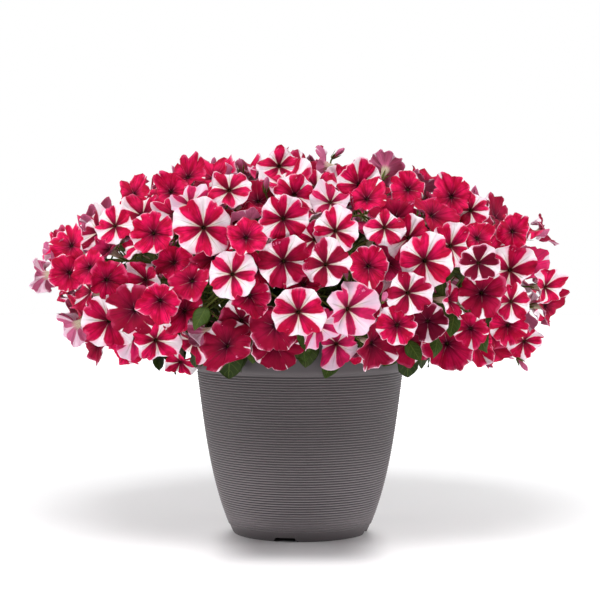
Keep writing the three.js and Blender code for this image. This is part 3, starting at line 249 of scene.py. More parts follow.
# Calyxes: how far the sepals spread, their circle and their length, on a bloom and on a bud
SEPAL_ROWS = 4
SEPAL_WIDTH = 0.0026
SEPAL_THICKNESS = 0.0006
SEPAL_SPREAD = (0.05, 0.3)
BLOOM_CALYX = {"start": 0.0021, "length": 0.0135}
BUD_CALYX = {"spread": 0.12, "start": 0.0019, "length": 0.011}

# Stage
STAGE_RADIUS = 6.0
FLOOR_GLOW = (0.10, 0.9)  # the floor's painted glow behind the pot, dim there as painted shadow, and far away
FLOOR_COLOURS = ((0.84, 0.84, 0.85, 1), (0.56, 0.56, 0.57, 1))  # the last, darker, is painted contact shadow at the pot's foot
SHADOW_BEHIND = 0.33  # the middle of the soft shadow lies this far behind the pot
SHADOW_REACH = (0.0, 1.6)
CONTACT_SHADOW = {"half_width": 0.1, "half_length": 0.14, "front": 0.09}  # painted contact shadow: the dark patch at the pot's foot
CONTACT_SHADOW_EDGE = (0.45, 1.15)  # where it starts to pale and where it ends, over its size
WORLD_LIGHT = 0.16
LIGHTS = [  # place, height of what it faces on the pot's axis, size and power
    ("key", (-0.2, -1.5, 2.45), 0.3, 1.2, 50),
    ("back", (0.2, 2.0, 1.5), 0.3, 1.4, 14),
    ("left", (-1.7, -0.2, 0.7), 0.25, 1.1, 10),
    ("right", (1.7, -0.2, 0.7), 0.25, 1.1, 10),
]
AIM = (0, 0, 0.289)  # what the camera faces
LENS = 106
SENSOR = 36


def draw(item, which):
    """A repeatable draw between 0 and 1."""
    h = (item * 16 + which + 1) & 0xFFFFFFFF
    for _ in range(2):
        h = ((h ^ (h >> 16)) * 0x45D9F3B) & 0xFFFFFFFF
    return (h ^ (h >> 16)) / 4294967296


def draws(item, which, count):
    """Several of them, for one of the things that vary from bloom to bloom."""
    return np.array([draw(item + 1000 * which, i) for i in range(count)])


def mix(a, b, t):
    """What lies a share of the way from one value to another."""
    return a + (b - a) * t


def smooth(low, high, x):
    """0 up to low, 1 from high on, and a smooth rise between them."""
    t = np.clip((x - low) / (high - low), 0, 1)
    return t * t * (3 - 2 * t)


def unit(v):
    """Vectors brought to length 1."""
    return v / np.linalg.norm(v, axis=-1, keepdims=True)


def hump(x, width):
    """1 at zero, falling off on both sides of it."""
    return np.exp(-((x / width) ** 2))


def bezier(a, b, c, d, t):
    """The place on a curve from a to d, drawn towards b and c between them."""
    u = 1 - t
    return u**3 * a + 3 * u * u * t * b + 3 * u * t * t * c + t**3 * d


# Node trees


def both_ways(operation):
    """An operator on wires and its reflected form."""
    return (
        lambda wire, other: wire.board.math(operation, wire, other),
        lambda wire, other: wire.board.math(operation, other, wire),
    )


class Wire:
    """A node's output that can be used in sums."""

    def __init__(self, board, socket):
        self.board = board
        self.socket = socket

    __add__, __radd__ = both_ways("ADD")
    __sub__, __rsub__ = both_ways("SUBTRACT")
    __mul__, __rmul__ = both_ways("MULTIPLY")
    __truediv__, __rtruediv__ = both_ways("DIVIDE")
    __pow__, __rpow__ = both_ways("POWER")

    def __abs__(self):
        return self.board.math("ABSOLUTE", self)


class Board:
    """A node tree and the one way in which its nodes are made."""

    def __init__(self, tree):
        self.tree = tree

    def node(self, kind, sockets=None, settings=None):
        """A node of a kind. Its settings are set first, then its sockets' values and links, by name or
        number."""
        made = self.tree.nodes.new(kind)
        for name, value in (settings or {}).items():
            setattr(made, name, value)
        for name, value in (sockets or {}).items():
            if isinstance(value, Wire):
                self.tree.links.new(value.socket, made.inputs[name])
            else:
                made.inputs[name].default_value = value
        return made

    def wire(self, kind, sockets=None, settings=None, output=0):
        return Wire(self, self.node(kind, sockets, settings).outputs[output])

    def math(self, operation, *terms):
        return self.wire("ShaderNodeMath", dict(enumerate(terms)), {"operation": operation})

    def map(self, value, low, high, to_low=0.0, to_high=1.0):
        """Carries a value smoothly from one span to another."""
        ends = {"Value": value, 1: low, 2: high, 3: to_low, 4: to_high}
        return self.wire("ShaderNodeMapRange", ends, {"interpolation_type": "SMOOTHSTEP"})

    def blend(self, factor, a, b):
        """Mixes two colours."""
        return self.wire("ShaderNodeMix", {0: factor, 6: a, 7: b}, {"data_type": "RGBA"}, 2)

    def layers(self, colour, *others):
        """A colour with others laid over it in turn, each given as its share and itself."""
        for share, other in others:
            colour = self.blend(share, colour, other)
        return colour

    def noise(self, vector, scale, detail=2.0):
        return self.wire("ShaderNodeTexNoise", {"Vector": vector, "Scale": scale, "Detail": detail})

    def bump(self, height, strength, distance):
        return self.wire("ShaderNodeBump", {"Height": height, "Strength": strength, "Distance": distance})

    def pack(self, x, y, z):
        return self.wire("ShaderNodeCombineXYZ", {0: x, 1: y, 2: z})

    def split(self, vector):
        """The three numbers of a vector."""
        parts = self.node("ShaderNodeSeparateXYZ", {0: vector}).outputs
        return [Wire(self, parts[i]) for i in range(3)]

    def attribute(self, name):
        """The three numbers of an attribute."""
        return self.split(self.wire("ShaderNodeAttribute", None, {"attribute_name": name}, "Vector"))

    def object_place(self):
        return self.wire("ShaderNodeTexCoord", output="Object")

    def surface(self, **wires):
        """Links what varies over a surface to the sockets of its shader."""
        shader = self.tree.nodes["Principled BSDF"]
        for name, wire in wires.items():
            self.tree.links.new(wire.socket, shader.inputs[name.replace("_", " ")])


def rgb(red, green, blue):
    """A screen colour as the linear one that the shaders take."""
    screen = [part / 255 for part in (red, green, blue)]
    linear = [c / 12.92 if c <= 0.04045 else ((c + 0.055) / 1.055) ** 2.4 for c in screen]
    return (*linear, 1.0)


def new_material(name, **constants):
    """A material and its board, with what is the same all over set on its shader."""
    material = bpy.data.materials.new(name)
    material.use_nodes = True
    shader = material.node_tree.nodes["Principled BSDF"]
    for socket, value in constants.items():
        shader.inputs[socket.replace("_", " ")].default_value = value
    return material, Board(material.node_tree)


def petal_material():
    """Petals: crimson arms along the sinuses and white wedges along the lobes, with fine branching veins,
    darker to the throat, paler and pinker on the back."""
    material, board = new_material("petals", Roughness=0.65, Specular_IOR_Level=0.08)
    from_lobe, out, pick = board.attribute("petal_place")
    white, start, side = board.attribute("petal_mark")
    tone, faded, arm_end = board.attribute("petal_tone")
    cosine, sine, lip = board.attribute("petal_round")

    def flecks(around, outwards, shift, detail=2.0):
        """Noise in polar places, with as many flecks around and outwards as given, anew on each bloom."""
        place = board.pack(cosine * around + pick * shift, sine * around, out * outwards)
        return board.noise(place, 1.0, detail)

    unsteady = flecks(3.0, 4.0, 37.0)
    streaks = flecks(10.0, 1.3, 91.0, 3.0)
    fine = flecks(26.0, 2.6, 53.0)
    cloud = flecks(1.6, 2.0, 19.0)

    # The white wedge of each lobe opens from the throat, or from further out, and past its widest place a
    # red arm is rounded off, so that white closes round its end where there is much of it
    aside = from_lobe + (unsteady - 0.5) * 0.1
    open_out = board.math("MAXIMUM", (out - start) / (1.0 - start), 0.0)
    past = board.math("MAXIMUM", out - 0.66, 0.0) / arm_end
    rounding = board.math("MAXIMUM", 1.0 - past * past, 0.0) ** 0.5
    wedge = 0.5 - (0.5 - white * open_out**0.5) * rounding
    softness = 0.012 / board.math("MAXIMUM", out, 0.12)
    is_red = board.map((aside - wedge + LEAST_WEDGE) / softness, -1.3, 1.3)

    red = board.layers(
        board.blend(board.map(cloud, 0.35, 0.65), rgb(186, 0, 54), rgb(236, 14, 92)),
        (board.map(tone, 0.0, 0.8), board.blend(tone, rgb(160, 0, 46), rgb(88, 0, 34))),  # older blooms, and painted shade on the lowest ones
        (board.map(streaks, 0.46, 0.7) * 0.6, rgb(112, 0, 36)),  # veins
        (faded * 0.5, rgb(188, 54, 120)),
        ((1.0 - board.map(out, 0.1, 0.62)) * 0.85, rgb(74, 0, 30)),  # painted shade in the funnel, darkening the red towards the throat over its own deeper colour there
        (board.map(out, 0.8, 1.0) * board.map(cloud, 0.45, 0.62) * 0.45, rgb(246, 112, 160)),  # the rim
    )
    middle = (1.0 - board.map(from_lobe, 0.0, 0.035)) * (1.0 - board.map(out, 0.4, 0.9))
    pale = board.layers(
        rgb(255, 248, 252),
        (board.map(streaks, 0.45, 0.7) * 0.4, rgb(234, 206, 220)),  # veins
        (board.map(fine, 0.52, 0.66) * 0.3, rgb(214, 186, 202)),  # finer veins
        (board.map(cloud, 0.42, 0.64) * 0.4, rgb(214, 190, 204)),  # soft shades
        (faded * 0.8, rgb(222, 172, 206)),
        ((1.0 - board.map(out, 0.15, 0.62)) * 0.6, rgb(222, 212, 158)),  # towards the throat
        (middle * 0.6, rgb(160, 140, 104)),  # the vein along a lobe's middle
        (board.map(aside / (wedge + 0.001), 0.3, 1.0) * 0.7, rgb(252, 164, 200)),  # beside the red
    )
    torn = board.map(cloud, 0.38, 0.6)
    edge = board.map(out + (fine - 0.5) * 0.1 + torn * 0.03, 0.965, 1.005) * lip * torn
    throat = board.blend(board.map(white, 0.14, 0.3), rgb(44, 0, 20), rgb(92, 40, 30))
    front = board.layers(
        pale,
        (is_red, red),
        (edge * 0.85, rgb(252, 206, 226)),  # a pale lip
        ((1.0 - board.map(out, 0.09, 0.19)) * 0.7, throat),
        # painted shade: near black deep inside the tube
        (1.0 - board.map(out, -0.2, 0.1), rgb(30, 2, 12)),
    )
    tube = board.blend(board.map(fine, 0.5, 0.62) * 0.6, rgb(204, 196, 166), rgb(150, 60, 96))
    back = board.layers(
        board.blend(board.map(fine, 0.45, 0.65) * 0.6, rgb(250, 222, 238), rgb(224, 150, 190)),
        (is_red * 0.85, board.blend(streaks, rgb(226, 96, 154), rgb(174, 34, 96))),
        (1.0 - board.map(out, 0.05, 0.32), tube),
    )
    is_back, is_anther = board.map(side, 0.35, 0.65), board.map(side, 1.4, 1.6)
    colour = board.layers(front, (is_back, back), (is_anther, rgb(86, 64, 40)))
    board.surface(Base_Color=colour, Normal=board.bump(streaks * 0.7 + fine * 0.3, 0.4, 0.0008))
    return material


def leaf_material():
    """Leaves: soft dark green with a paler midrib and side veins, quilted between them."""
    material, board = new_material("foliage", Roughness=0.6, Specular_IOR_Level=0.2)
    across, along, _ = board.attribute("leaf_place")
    is_stem, young, shaded = board.attribute("leaf_mark")
    place = board.object_place()
    cloud = board.noise(place, 90.0, 3.0)
    broad = board.noise(place, 14.0, 1.0)
    wide = abs(across)
    midrib = 1.0 - board.map(wide, 0.02, 0.09)
    rise = board.math("FRACT", along * 6.0 - wide * 1.5)
    side_vein = (1.0 - board.map(abs(rise - 0.5), 0.03, 0.12)) * (1.0 - board.map(wide, 0.6, 1.0))
    veins = board.math("MAXIMUM", midrib, side_vein * 0.55)
    colour = board.layers(
        rgb(34, 54, 6),
        (cloud, rgb(60, 82, 14)),
        (board.map(broad, 0.4, 0.6) * 0.5, rgb(46, 66, 14)),  # broad shades
        (young, rgb(96, 112, 30)),
        (shaded, rgb(16, 30, 4)),
        (veins * 0.4, rgb(98, 118, 44)),
        (is_stem, board.blend(cloud, rgb(62, 76, 22), rgb(102, 112, 44))),
    )
    board.surface(Base_Color=colour, Normal=board.bump((1.0 - veins) * 0.8 + cloud * 0.2, 0.5, 0.0006))
    return material


def pot_material():
    """Moulded plastic, warm grey, with a fine grain, and painted light: painted shade in the grooves and on
    the collar, painted highlights on the ribs' crests, and painted bounce light near the floor.
    """
    material, board = new_material("pot_plastic", Specular_IOR_Level=0.4)
    place = board.object_place()
    z = board.split(place)[2]
    grain = board.noise(place, 700.0)
    patch = board.noise(place, 8.0, 3.0)
    from_crest = abs(board.math("FRACT", (z - RIB_LOWEST) / RIB_PITCH + 0.5) - 0.5)
    on_body = 1.0 - board.map(z, BODY_TOP - 0.0025, BODY_TOP - 0.001)
    on_body = on_body * board.map(z, RIB_LOWEST - 0.0015, RIB_LOWEST + 0.03)
    # painted shade in the grooves between the ribs, at the ribs' pitch
    painted_groove_shade = board.map(from_crest, 0.2, 0.4) * on_body
    # painted highlight along the ribs' crests
    painted_crest_highlight = (1.0 - board.map(from_crest, 0.0, 0.2)) * on_body
    # painted bounce light: paler low on the body, but not at its very foot
    low = (1.0 - board.map(z, 0.03, 0.15)) * board.map(z, 0.004, 0.022)
    # painted shade: the collar darker, where the plant's shadow falls on it
    painted_collar_shade = board.map(z, BODY_TOP + 0.002, BODY_TOP + 0.006)
    colour = board.layers(
        board.blend(patch, rgb(88, 82, 84), rgb(101, 95, 97)),
        (low * 0.7, rgb(150, 143, 146)),  # painted light: paler near the floor, as light bounced up from it
        # painted highlight on the ribs' crests, paler still low down with the painted bounce light
        (painted_crest_highlight * 0.75, board.blend(low, rgb(140, 133, 135), rgb(174, 166, 169))),
        # painted shade in the grooves
        (painted_groove_shade * 0.95, rgb(50, 45, 48)),
        # painted shade on the collar
        (painted_collar_shade, board.blend(patch, rgb(78, 72, 75), rgb(86, 80, 83))),
        (board.map(grain, 0.55, 0.75) * 0.2, rgb(84, 78, 80)),  # the grain
    )
    rough = board.map(patch, 0.3, 0.7, 0.5, 0.6)
    board.surface(Base_Color=colour, Roughness=rough, Normal=board.bump(grain, 0.25, 0.0003))
    return material


def soil_material():
    """Moist potting mix: dark fibres with paler flecks."""
    material, board = new_material("potting_mix", Roughness=0.9, Specular_IOR_Level=0.2)
    place = board.object_place()
    clump = board.noise(place, 110.0, 5.0)
    fleck = board.noise(place, 420.0)
    colour = board.layers(
        rgb(30, 20, 13),
        (clump, rgb(70, 50, 34)),
        (board.map(fleck, 0.62, 0.72) * 0.7, rgb(128, 104, 78)),  # flecks
    )
    board.surface(Base_Color=colour, Normal=board.bump(clump + fleck * 0.4, 0.9, 0.002))
    return material


PETALS = petal_material()
FOLIAGE = leaf_material()
PLASTIC = pot_material()
MIX = soil_material()


# Reading the frame


def corner_graph(node):
    """A node's corners, each once, and for each corner those that it shares an edge with."""
    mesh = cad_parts[node].data
    raw = np.array([v.co for v in mesh.vertices])
    corners, index = np.unique(np.round(raw, 6), axis=0, return_inverse=True)
    index = index.reshape(-1)
    links = [set() for _ in corners]
    for polygon in mesh.polygons:
        ring = [int(index[i]) for i in polygon.vertices]
        for a, b in zip(ring, ring[1:] + ring[:1]):
            if a != b:
                links[a].add(b)
                links[b].add(a)
    return corners, links


def ring_round(tip, count, links):
    """The corners round a corner, in order, or None where they don't make one ring of so many."""
    left = set(links[tip])
    if len(left) != count:
        return None
    ring = [min(left)]
    left.discard(ring[0])
    while left:
        following = [c for c in links[ring[-1]] if c in left]
        if not following:
            return None
        ring.append(following[0])
        left.discard(ring[-1])
    return ring if ring[0] in links[ring[-1]] else None


def rings_from(tip, sizes, links):
    """The rings of corners that follow from a tip, each of a known size, or None where they have others."""
    first = ring_round(tip, sizes[0], links)
    if first is None:
        return None
    seen = {tip, *first}
    rings = [first]
    for size in sizes[1:]:
        ring = sorted(set().union(*(links[corner] for corner in rings[-1])) - seen)
        if len(ring) != size:
            return None
        seen.update(ring)
        rings.append(ring)
    return rings


def read_bloom(tip, rings):
    """A bloom of the frame: its tip is the throat, with the sinuses and lobes by turns round it."""
    ring = rings[0]
    reach = np.linalg.norm(ring - tip, axis=1)
    for first in (0, 1):
        near = reach[first::2]
        if np.ptp(near) < SAME_LENGTH and near.mean() < reach.mean():
            break
    else:
        return None
    sinuses = ring[first::2]
    centre = sinuses.mean(axis=0)
    axis = unit(centre - tip)
    side = unit(sinuses[0] - centre)
    over = np.cross(axis, side)
    lobes = ring[1 - first :: 2] - centre
    angle = np.arctan2(lobes @ over, lobes @ side) % (2 * math.pi)
    return {
        "throat": tip,
        "centre": centre,
        "axis": axis,
        "side": side,
        "over": over,
        "radius": float(np.linalg.norm(sinuses[0] - centre) / SINUS),
        "lifts": (lobes @ axis)[np.argsort(angle)],
        "heel": centre - axis * TUBE_LENGTH,
        "root": rings[3].mean(axis=0),
    }


def read_leaf(tip, rings):
    """A leaf of the frame: its tip has an edge, the top, the other edge and the underside round it."""
    reach = np.linalg.norm(rings[0] - tip, axis=1)
    if reach.min() < LEAF_TIP_EDGE[0] or reach.max() > LEAF_TIP_EDGE[1]:
        return None
    rows = []
    for points in rings[:3]:
        apart = np.linalg.norm(points[:, None] - points[None], axis=2)
        apart[apart == 0] = 1
        top, under = np.unravel_index(np.argmin(apart), apart.shape)
        if apart[top, under] > BLADE_DEPTH:
            return None
        edges = [i for i in range(4) if i not in (top, under)]
        rows.append([(points[top] + points[under]) / 2, *points[edges]])
    for last, row in zip(rows, rows[1:]):
        if np.linalg.norm(row[1] - last[1]) > np.linalg.norm(row[2] - last[1]):
            row[1], row[2] = row[2], row[1]
    heel = rings[3].mean(axis=0)
    knots = [[heel] * 3, *rows[::-1], [tip] * 3]
    return {"knots": np.array(knots), "heel": heel, "root": rings[4].mean(axis=0)}


def read_bud(tip, rings):
    """A bud of the frame: its tip stands evenly over four shoulders."""
    reach = np.linalg.norm(rings[0] - tip, axis=1)
    if reach.max() > BUD_TIP_EDGE or np.ptp(reach) > SAME_LENGTH:
        return None
    heel = rings[1].mean(axis=0)
    return {"tip": tip, "heel": heel, "axis": unit(tip - heel), "root": rings[2].mean(axis=0)}


# How each kind is read, and how many corners the rings that follow from its tip have
READERS = {
    "blooms": (read_bloom, (2 * LOBES, 3, 3, 3)),
    "leaves": (read_leaf, (4, 4, 4, 3, 3)),
    "buds": (read_bud, (4, 3, 3)),
}


def mound_reach(azimuth, inset):
    """How far out the mound reaches at its widest level."""
    across, over = math.cos(azimuth) / (MOUND["x"] - inset), math.sin(azimuth) / (MOUND["y"] - inset)
    return 1 / math.hypot(across, over)


def stem_path(index):
    """The corners of a stem's line, from its root end to its tip, and its radius at each."""
    share = (index + 0.5) / len(SHOOTS)
    azimuth = index * GOLDEN_ANGLE + FIRST_SHOOT
    polar = SKIRT_ANGLE * share**SKIRT_SHARE
    root_radius = ROOT_CIRCLE * math.sqrt(share)
    lower = mix(MOUND["down_front"], MOUND["down_side"], math.cos(azimuth) ** 2)
    drop = lower - CANOPY_DEPTH * SKIRT_DEPTH
    height = MOUND["up"] - CANOPY_DEPTH if math.cos(polar) > 0 else drop
    tip_radius = math.sin(polar) * mound_reach(azimuth, CANOPY_DEPTH)
    tip_z = MOUND["level"] + math.cos(polar) * height
    arch = max(tip_z, ARCH_HEIGHT)
    run = tip_radius - root_radius
    line = [(root_radius, SOIL_TOP - ROOT_DEPTH)]
    for i in range(STEM_STEPS):
        t = i / (STEM_STEPS - 1)
        handles = [root_radius + run * out for out in STEM_OUT]
        r = bezier(root_radius, *handles, tip_radius, t)
        z = bezier(SOIL_TOP, mix(SOIL_TOP, arch, STEM_RISE), arch + STEM_CREST, tip_z, t)
        line.append((r, z))
    points = np.array([(r * math.cos(azimuth), r * math.sin(azimuth), z) for r, z in line])
    radii = np.linspace(STEM_ROOT_RADIUS, STEM_TIP_RADIUS, len(points))
    return points, radii


def lengths_along(points):
    """How far along a line each of its points is."""
    return np.concatenate([[0], np.cumsum(np.linalg.norm(np.diff(points, axis=0), axis=1))])


def places_along(points, lengths, at):
    """The places on a line at some lengths along it."""
    return np.stack([np.interp(at, lengths, points[:, k]) for k in range(3)], axis=-1)


def dense_path(points, radii, count):
    """A line through the same corners with more points, its corners rounded off a little."""
    lengths = lengths_along(points)
    at = np.linspace(0, lengths[-1], count)
    line = places_along(points, lengths, at)
    for _ in range(2):
        line[1:-1] = (line[:-2] + 2 * line[1:-1] + line[2:]) / 4
    return line, np.interp(at, lengths, radii)


def read_shoot(index):
    """All that grows on one shoot of the frame, with the line and thickness of its stem."""
    corners, links = corner_graph(SHOOTS[index])
    shoot = {"index": index, "line": dense_path(*stem_path(index), STEM_POINTS)}
    shoot.update((kind, []) for kind in READERS)
    for tip in range(len(corners)):
        for kind, (read, sizes) in READERS.items():
            rings = rings_from(tip, sizes, links)
            found = read(corners[tip], [corners[ring] for ring in rings]) if rings else None
            if found:
                shoot[kind].append(found)
                break
    return shoot


shoots = [read_shoot(i) for i in range(len(SHOOTS))]
blooms = [bloom for shoot in shoots for bloom in shoot["blooms"]]
print({kind: sum(len(shoot[kind]) for shoot in shoots) for kind in READERS})


# How each bloom differs from the others, and how red it is


def form_bloom(bloom, seed):
    """Draws what is this bloom's own in its shape."""
    bloom.update(
        seed=seed,
        size=mix(*LOBE_SIZE, draws(seed, 1, LOBES)),
        curl=mix(*LOBE_CURL, draws(seed, 2, LOBES) ** 1.7),
        fold=mix(*LOBE_FOLD, draws(seed, 3, LOBES)),
        warp=mix(*SADDLE, draw(seed, 5)),
        curve=mix(*FUNNEL_CURVES, draw(seed, 8)),
        tilt=LIMB_TILT * draw(seed, 9),
        twist=LOBE_TWIST * (2 * draws(seed, 7, LOBES) - 1),
        phases=draws(seed, 4, 6) * 2 * math.pi,
        cuts=mix(*SINUS_CUT, draws(seed, 6, LOBES)),
        arm_end=mix(*ARM_END, draw(seed, 6)),
        lip=smooth(0.3, 0.75, draw(seed, 7)),
    )


def on_picture_plane(point):
    """Where a point is seen from the eye, on the upright plane through the pot's axis."""
    share = -EYE[1] / (point[1] - EYE[1])
    return np.array([point[0] * share, EYE[2] + (point[2] - EYE[2]) * share])


def colour_blooms():
    """Draws how red each bloom is and its tone, and gives those in front what the list says."""
    for bloom in blooms:
        seed = bloom["seed"]
        share = FULL_RED if draw(seed, 0) < FULL_RED_SHARE else STARRED_RED
        bloom["red"] = mix(*share, draw(seed, 1))
        bloom["tone"] = FADED_TONE if draw(seed, 3) < FADED_SHARE else draw(seed, 2) * TONE_RANGE
    free = set(range(len(blooms)))
    places = np.array([on_picture_plane(b["throat"]) for b in blooms])
    depth = np.array([b["throat"][1] for b in blooms])
    for x, z, red, tone in SEEN:
        distance = np.linalg.norm(places - np.array([x, z]) / 1000, axis=1)
        distance[depth > SEEN_DEEPEST] += 1
        nearest = min(free, key=lambda i: distance[i])
        if distance[nearest] <= SEEN_REACH:
            free.discard(nearest)
            blooms[nearest].update(red=red, tone=tone)
    # painted shade: the lowest blooms are made darker
    for bloom in blooms:
        if bloom["tone"] >= 0:
            bloom["tone"] += LOW_PAINTED_SHADE * (1 - smooth(*LOW_SPAN, bloom["centre"][2]))


for number, bloom in enumerate(blooms):
    form_bloom(bloom, number)
colour_blooms()


# Meshes


class Shell:
    """Points, faces and marks of closed skins that are put in one mesh."""

    def __init__(self, names):
        self.points = []
        self.faces = []
        self.marks = {name: [] for name in names}
        self.count = 0

    def add(self, points, faces, **marks):
        self.points.append(points)
        self.faces.extend([i + self.count for i in face] for face in faces)
        for name, values in marks.items():
            self.marks[name].append(np.broadcast_to(values, (len(points), 3)))
        self.count += len(points)

    def mesh(self, name, material):
        mesh = bpy.data.meshes.new(name)
        mesh.from_pydata(np.concatenate(self.points).tolist(), [], self.faces)
        for mark, values in self.marks.items():
            layer = mesh.attributes.new(mark, "FLOAT_VECTOR", "POINT")
            layer.data.foreach_set("vector", np.concatenate(values).astype(np.float32).ravel())
        mesh.materials.append(material)
        mesh.shade_smooth()
        return mesh


def placed(name, data):
    """An object in the scene for a mesh, a light or a camera."""
    item = bpy.data.objects.new(name, data)
    bpy.context.scene.collection.objects.link(item)
    return item


def piece(mesh, name, slot, *nodes):
    """A finished piece of the object, riding on its one body."""
    item = placed(name, mesh)
    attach(item, "root")
    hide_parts(*nodes)


def ring_faces(rings, around):
    """Faces between rings of points and over both ends, in the order in which the points are kept: rings
    one by one, then the point that closes the start and the one that closes the end."""
    faces = []
    for start in range(0, (rings - 1) * around, around):
        for i in range(around):
            j = (i + 1) % around
            faces.append((start + i, start + around + i, start + around + j, start + j))
    last, end = (rings - 1) * around, rings * around
    faces += [(end, i, (i + 1) % around) for i in range(around)]
    faces += [(last + i, end + 1, last + (i + 1) % around) for i in range(around)]
    return faces


def closed_mesh(name, work):
    """The mesh of a bmesh, with its faces turned outwards."""
    bmesh.ops.recalc_face_normals(work, faces=work.faces)
    mesh = bpy.data.meshes.new(name)
    work.to_mesh(mesh)
    work.free()
    return mesh


def evaluated_mesh(host):
    """The plain mesh of an object with its modifiers."""
    graph = bpy.context.evaluated_depsgraph_get()
    return bpy.data.meshes.new_from_object(host.evaluated_get(graph), depsgraph=graph)


def join(name, *meshes):
    """One mesh of several."""
    whole = bmesh.new()
    for mesh in meshes:
        whole.from_mesh(mesh)
    joined = bpy.data.meshes.new(name)
    whole.to_mesh(joined)
    whole.free()
    joined.materials.append(meshes[0].materials[0])
    for mesh in meshes:
        bpy.data.meshes.remove(mesh)
    joined.shade_smooth()
    return joined


# Blooms


def limb_surface(bloom, out, turn):
    """Distance from the axis and height over the rim's plane of the limb's front, where out runs from the
    throat (0) to the edge (1) and turn counts lobes from the first sinus."""
    radius, phases = bloom["radius"], bloom["phases"]
    angle = turn * 2 * math.pi / LOBES
    within = turn % 1
    bulge = np.sin(math.pi * within)
    lobe = np.floor(turn).astype(int) % LOBES
    sinus = np.round(turn).astype(int) % LOBES
    from_sinus = np.minimum(within, 1 - within)
    curl = bloom["curl"][lobe] * bulge * smooth(0.5, 1.0, out) ** 1.3

    # How far out: rounded lobes with a waved edge, parted at the sinuses
    waves = sum(np.sin(angle * count + phase) for count, phase in zip(SCALLOP_WAVES, phases[2:4]))
    outline = SINUS + (bloom["size"][lobe] - SINUS) * bulge**0.7 + SCALLOP * waves
    outline = outline - bloom["cuts"][sinus] * hump(from_sinus, SINUS_WIDTH)
    distance = FULLNESS * radius * out * mix(1.0, outline, np.minimum(out * 1.1, 1) ** 1.5)
    distance = distance * (1 - CURL_IN * np.abs(curl))

    # How high: the funnel and all that bends, warps and grooves it
    shifts = (*phases[:2], 0)
    ripple = sum(high * np.sin(angle * count + shift) for (count, high), shift in zip(EDGE_WAVES, shifts))
    belly = 3.2 * out * (1 - out) + 0.5 * out
    height = (
        -FUNNEL * (1 - out) ** bloom["curve"]
        - curl
        + bloom["tilt"] * out * np.cos(angle + phases[5])
        + bloom["warp"] * out**2 * np.sin(angle * 2 + phases[4])
        + bloom["twist"][lobe] * out**2 * np.sin(2 * math.pi * within)
        + RUFFLE * out**3 * ripple
        - bloom["fold"][lobe] * belly * hump(within - 0.5, GROOVE_WIDTHS[0])
        - SUTURE * belly * hump(from_sinus, GROOVE_WIDTHS[1])
    )
    return distance, radius * height + bloom["lifts"][lobe] * bulge * out**3


def bloom_points(bloom):
    """The rings of a bloom's skin, from the tube's inside over the edge to its heel, and their marks."""
    turn = np.arange(AROUND) * LOBES / AROUND
    ones = np.ones(AROUND)
    throat_distance, throat_height = limb_surface(bloom, np.array(FRONT_STEPS[0]), turn)
    rings = [(throat_distance * width, throat_height - depth, mark, 0) for depth, width, mark in INNER_TUBE]
    rings += [(*limb_surface(bloom, np.array(out), turn), out, 0) for out in FRONT_STEPS]
    for out in BACK_STEPS:
        distance, height = limb_surface(bloom, np.array(out), turn)
        rings.append((distance, height - mix(*LIMB_THICKNESS, out), out, 1))
    neck = FUNNEL * bloom["radius"] + NECK_DEPTH
    for share, mark in TUBE_STEPS:
        tube = mix(NECK_RADIUS, TUBE_END_RADIUS, share**0.8)
        rings.append((ones * tube, ones * -mix(neck, TUBE_LENGTH, share), mark, 1))
    angle = turn * 2 * math.pi / LOBES
    direction = np.cos(angle)[:, None] * bloom["side"] + np.sin(angle)[:, None] * bloom["over"]
    points, places = [], []
    for distance, height, mark, side in rings:
        points.append(bloom["centre"] + direction * distance[:, None] + bloom["axis"] * height[:, None])
        places.append(np.column_stack([turn, ones * mark, ones * side]))
    points.append((bloom["centre"] + bloom["axis"] * (throat_height.mean() - INNER_TUBE_END))[None])
    points.append(bloom["heel"][None])
    places.append([[0, INNER_TUBE[0][2], 0], [0, TUBE_STEPS[-1][1], 1]])
    return np.concatenate(points), np.concatenate(places)


def lobe_marks(bloom, turn):
    """How wide the white of each lobe is, and how far out it starts."""
    spread = 0.20 if bloom["red"] > 0.75 else 0.12
    red = np.clip(bloom["red"] + spread * (draws(bloom["seed"], 5, LOBES) - 0.6), 0.15, 1.0)
    white = 0.5 * (1 - red)
    start = mix(*WHITE_START, smooth(0.45, 0.95, red))
    lobe = np.floor(turn).astype(int) % LOBES
    return white[lobe], start[lobe]


BLOOM_FACES = ring_faces(len(INNER_TUBE) + len(FRONT_STEPS) + len(BACK_STEPS) + len(TUBE_STEPS), AROUND)


def add_bloom(shell, bloom):
    """A bloom's skin, with the marks that its colours go by."""
    points, places = bloom_points(bloom)
    turn, out, side = places.T
    white, start = lobe_marks(bloom, turn)
    angle = turn * 2 * math.pi / LOBES
    pick = np.full(len(points), draw(bloom["seed"], 4))
    arm_end = mix(bloom["arm_end"], 1.4, smooth(0.6, 0.85, bloom["red"]))
    shell.add(
        points,
        BLOOM_FACES,
        petal_place=np.column_stack([np.abs(turn % 1 - 0.5), out, pick]),
        petal_mark=np.column_stack([white, start, side]),
        petal_tone=[max(bloom["tone"], 0), max(-bloom["tone"], 0), arm_end],
        petal_round=np.column_stack([np.cos(angle), np.sin(angle), np.full(len(points), bloom["lip"])]),
    )


EIGHT_SIDES = [(0, 2, 4), (2, 1, 4), (1, 3, 4), (3, 0, 4), (2, 0, 5), (1, 2, 5), (3, 1, 5), (0, 3, 5)]
ANTHER_MARKS = {
    "petal_place": [0, 0.5, 0.5],
    "petal_mark": [0, 0, 2],
    "petal_tone": [0, 0, 1],
    "petal_round": [0, 0, 0],
}


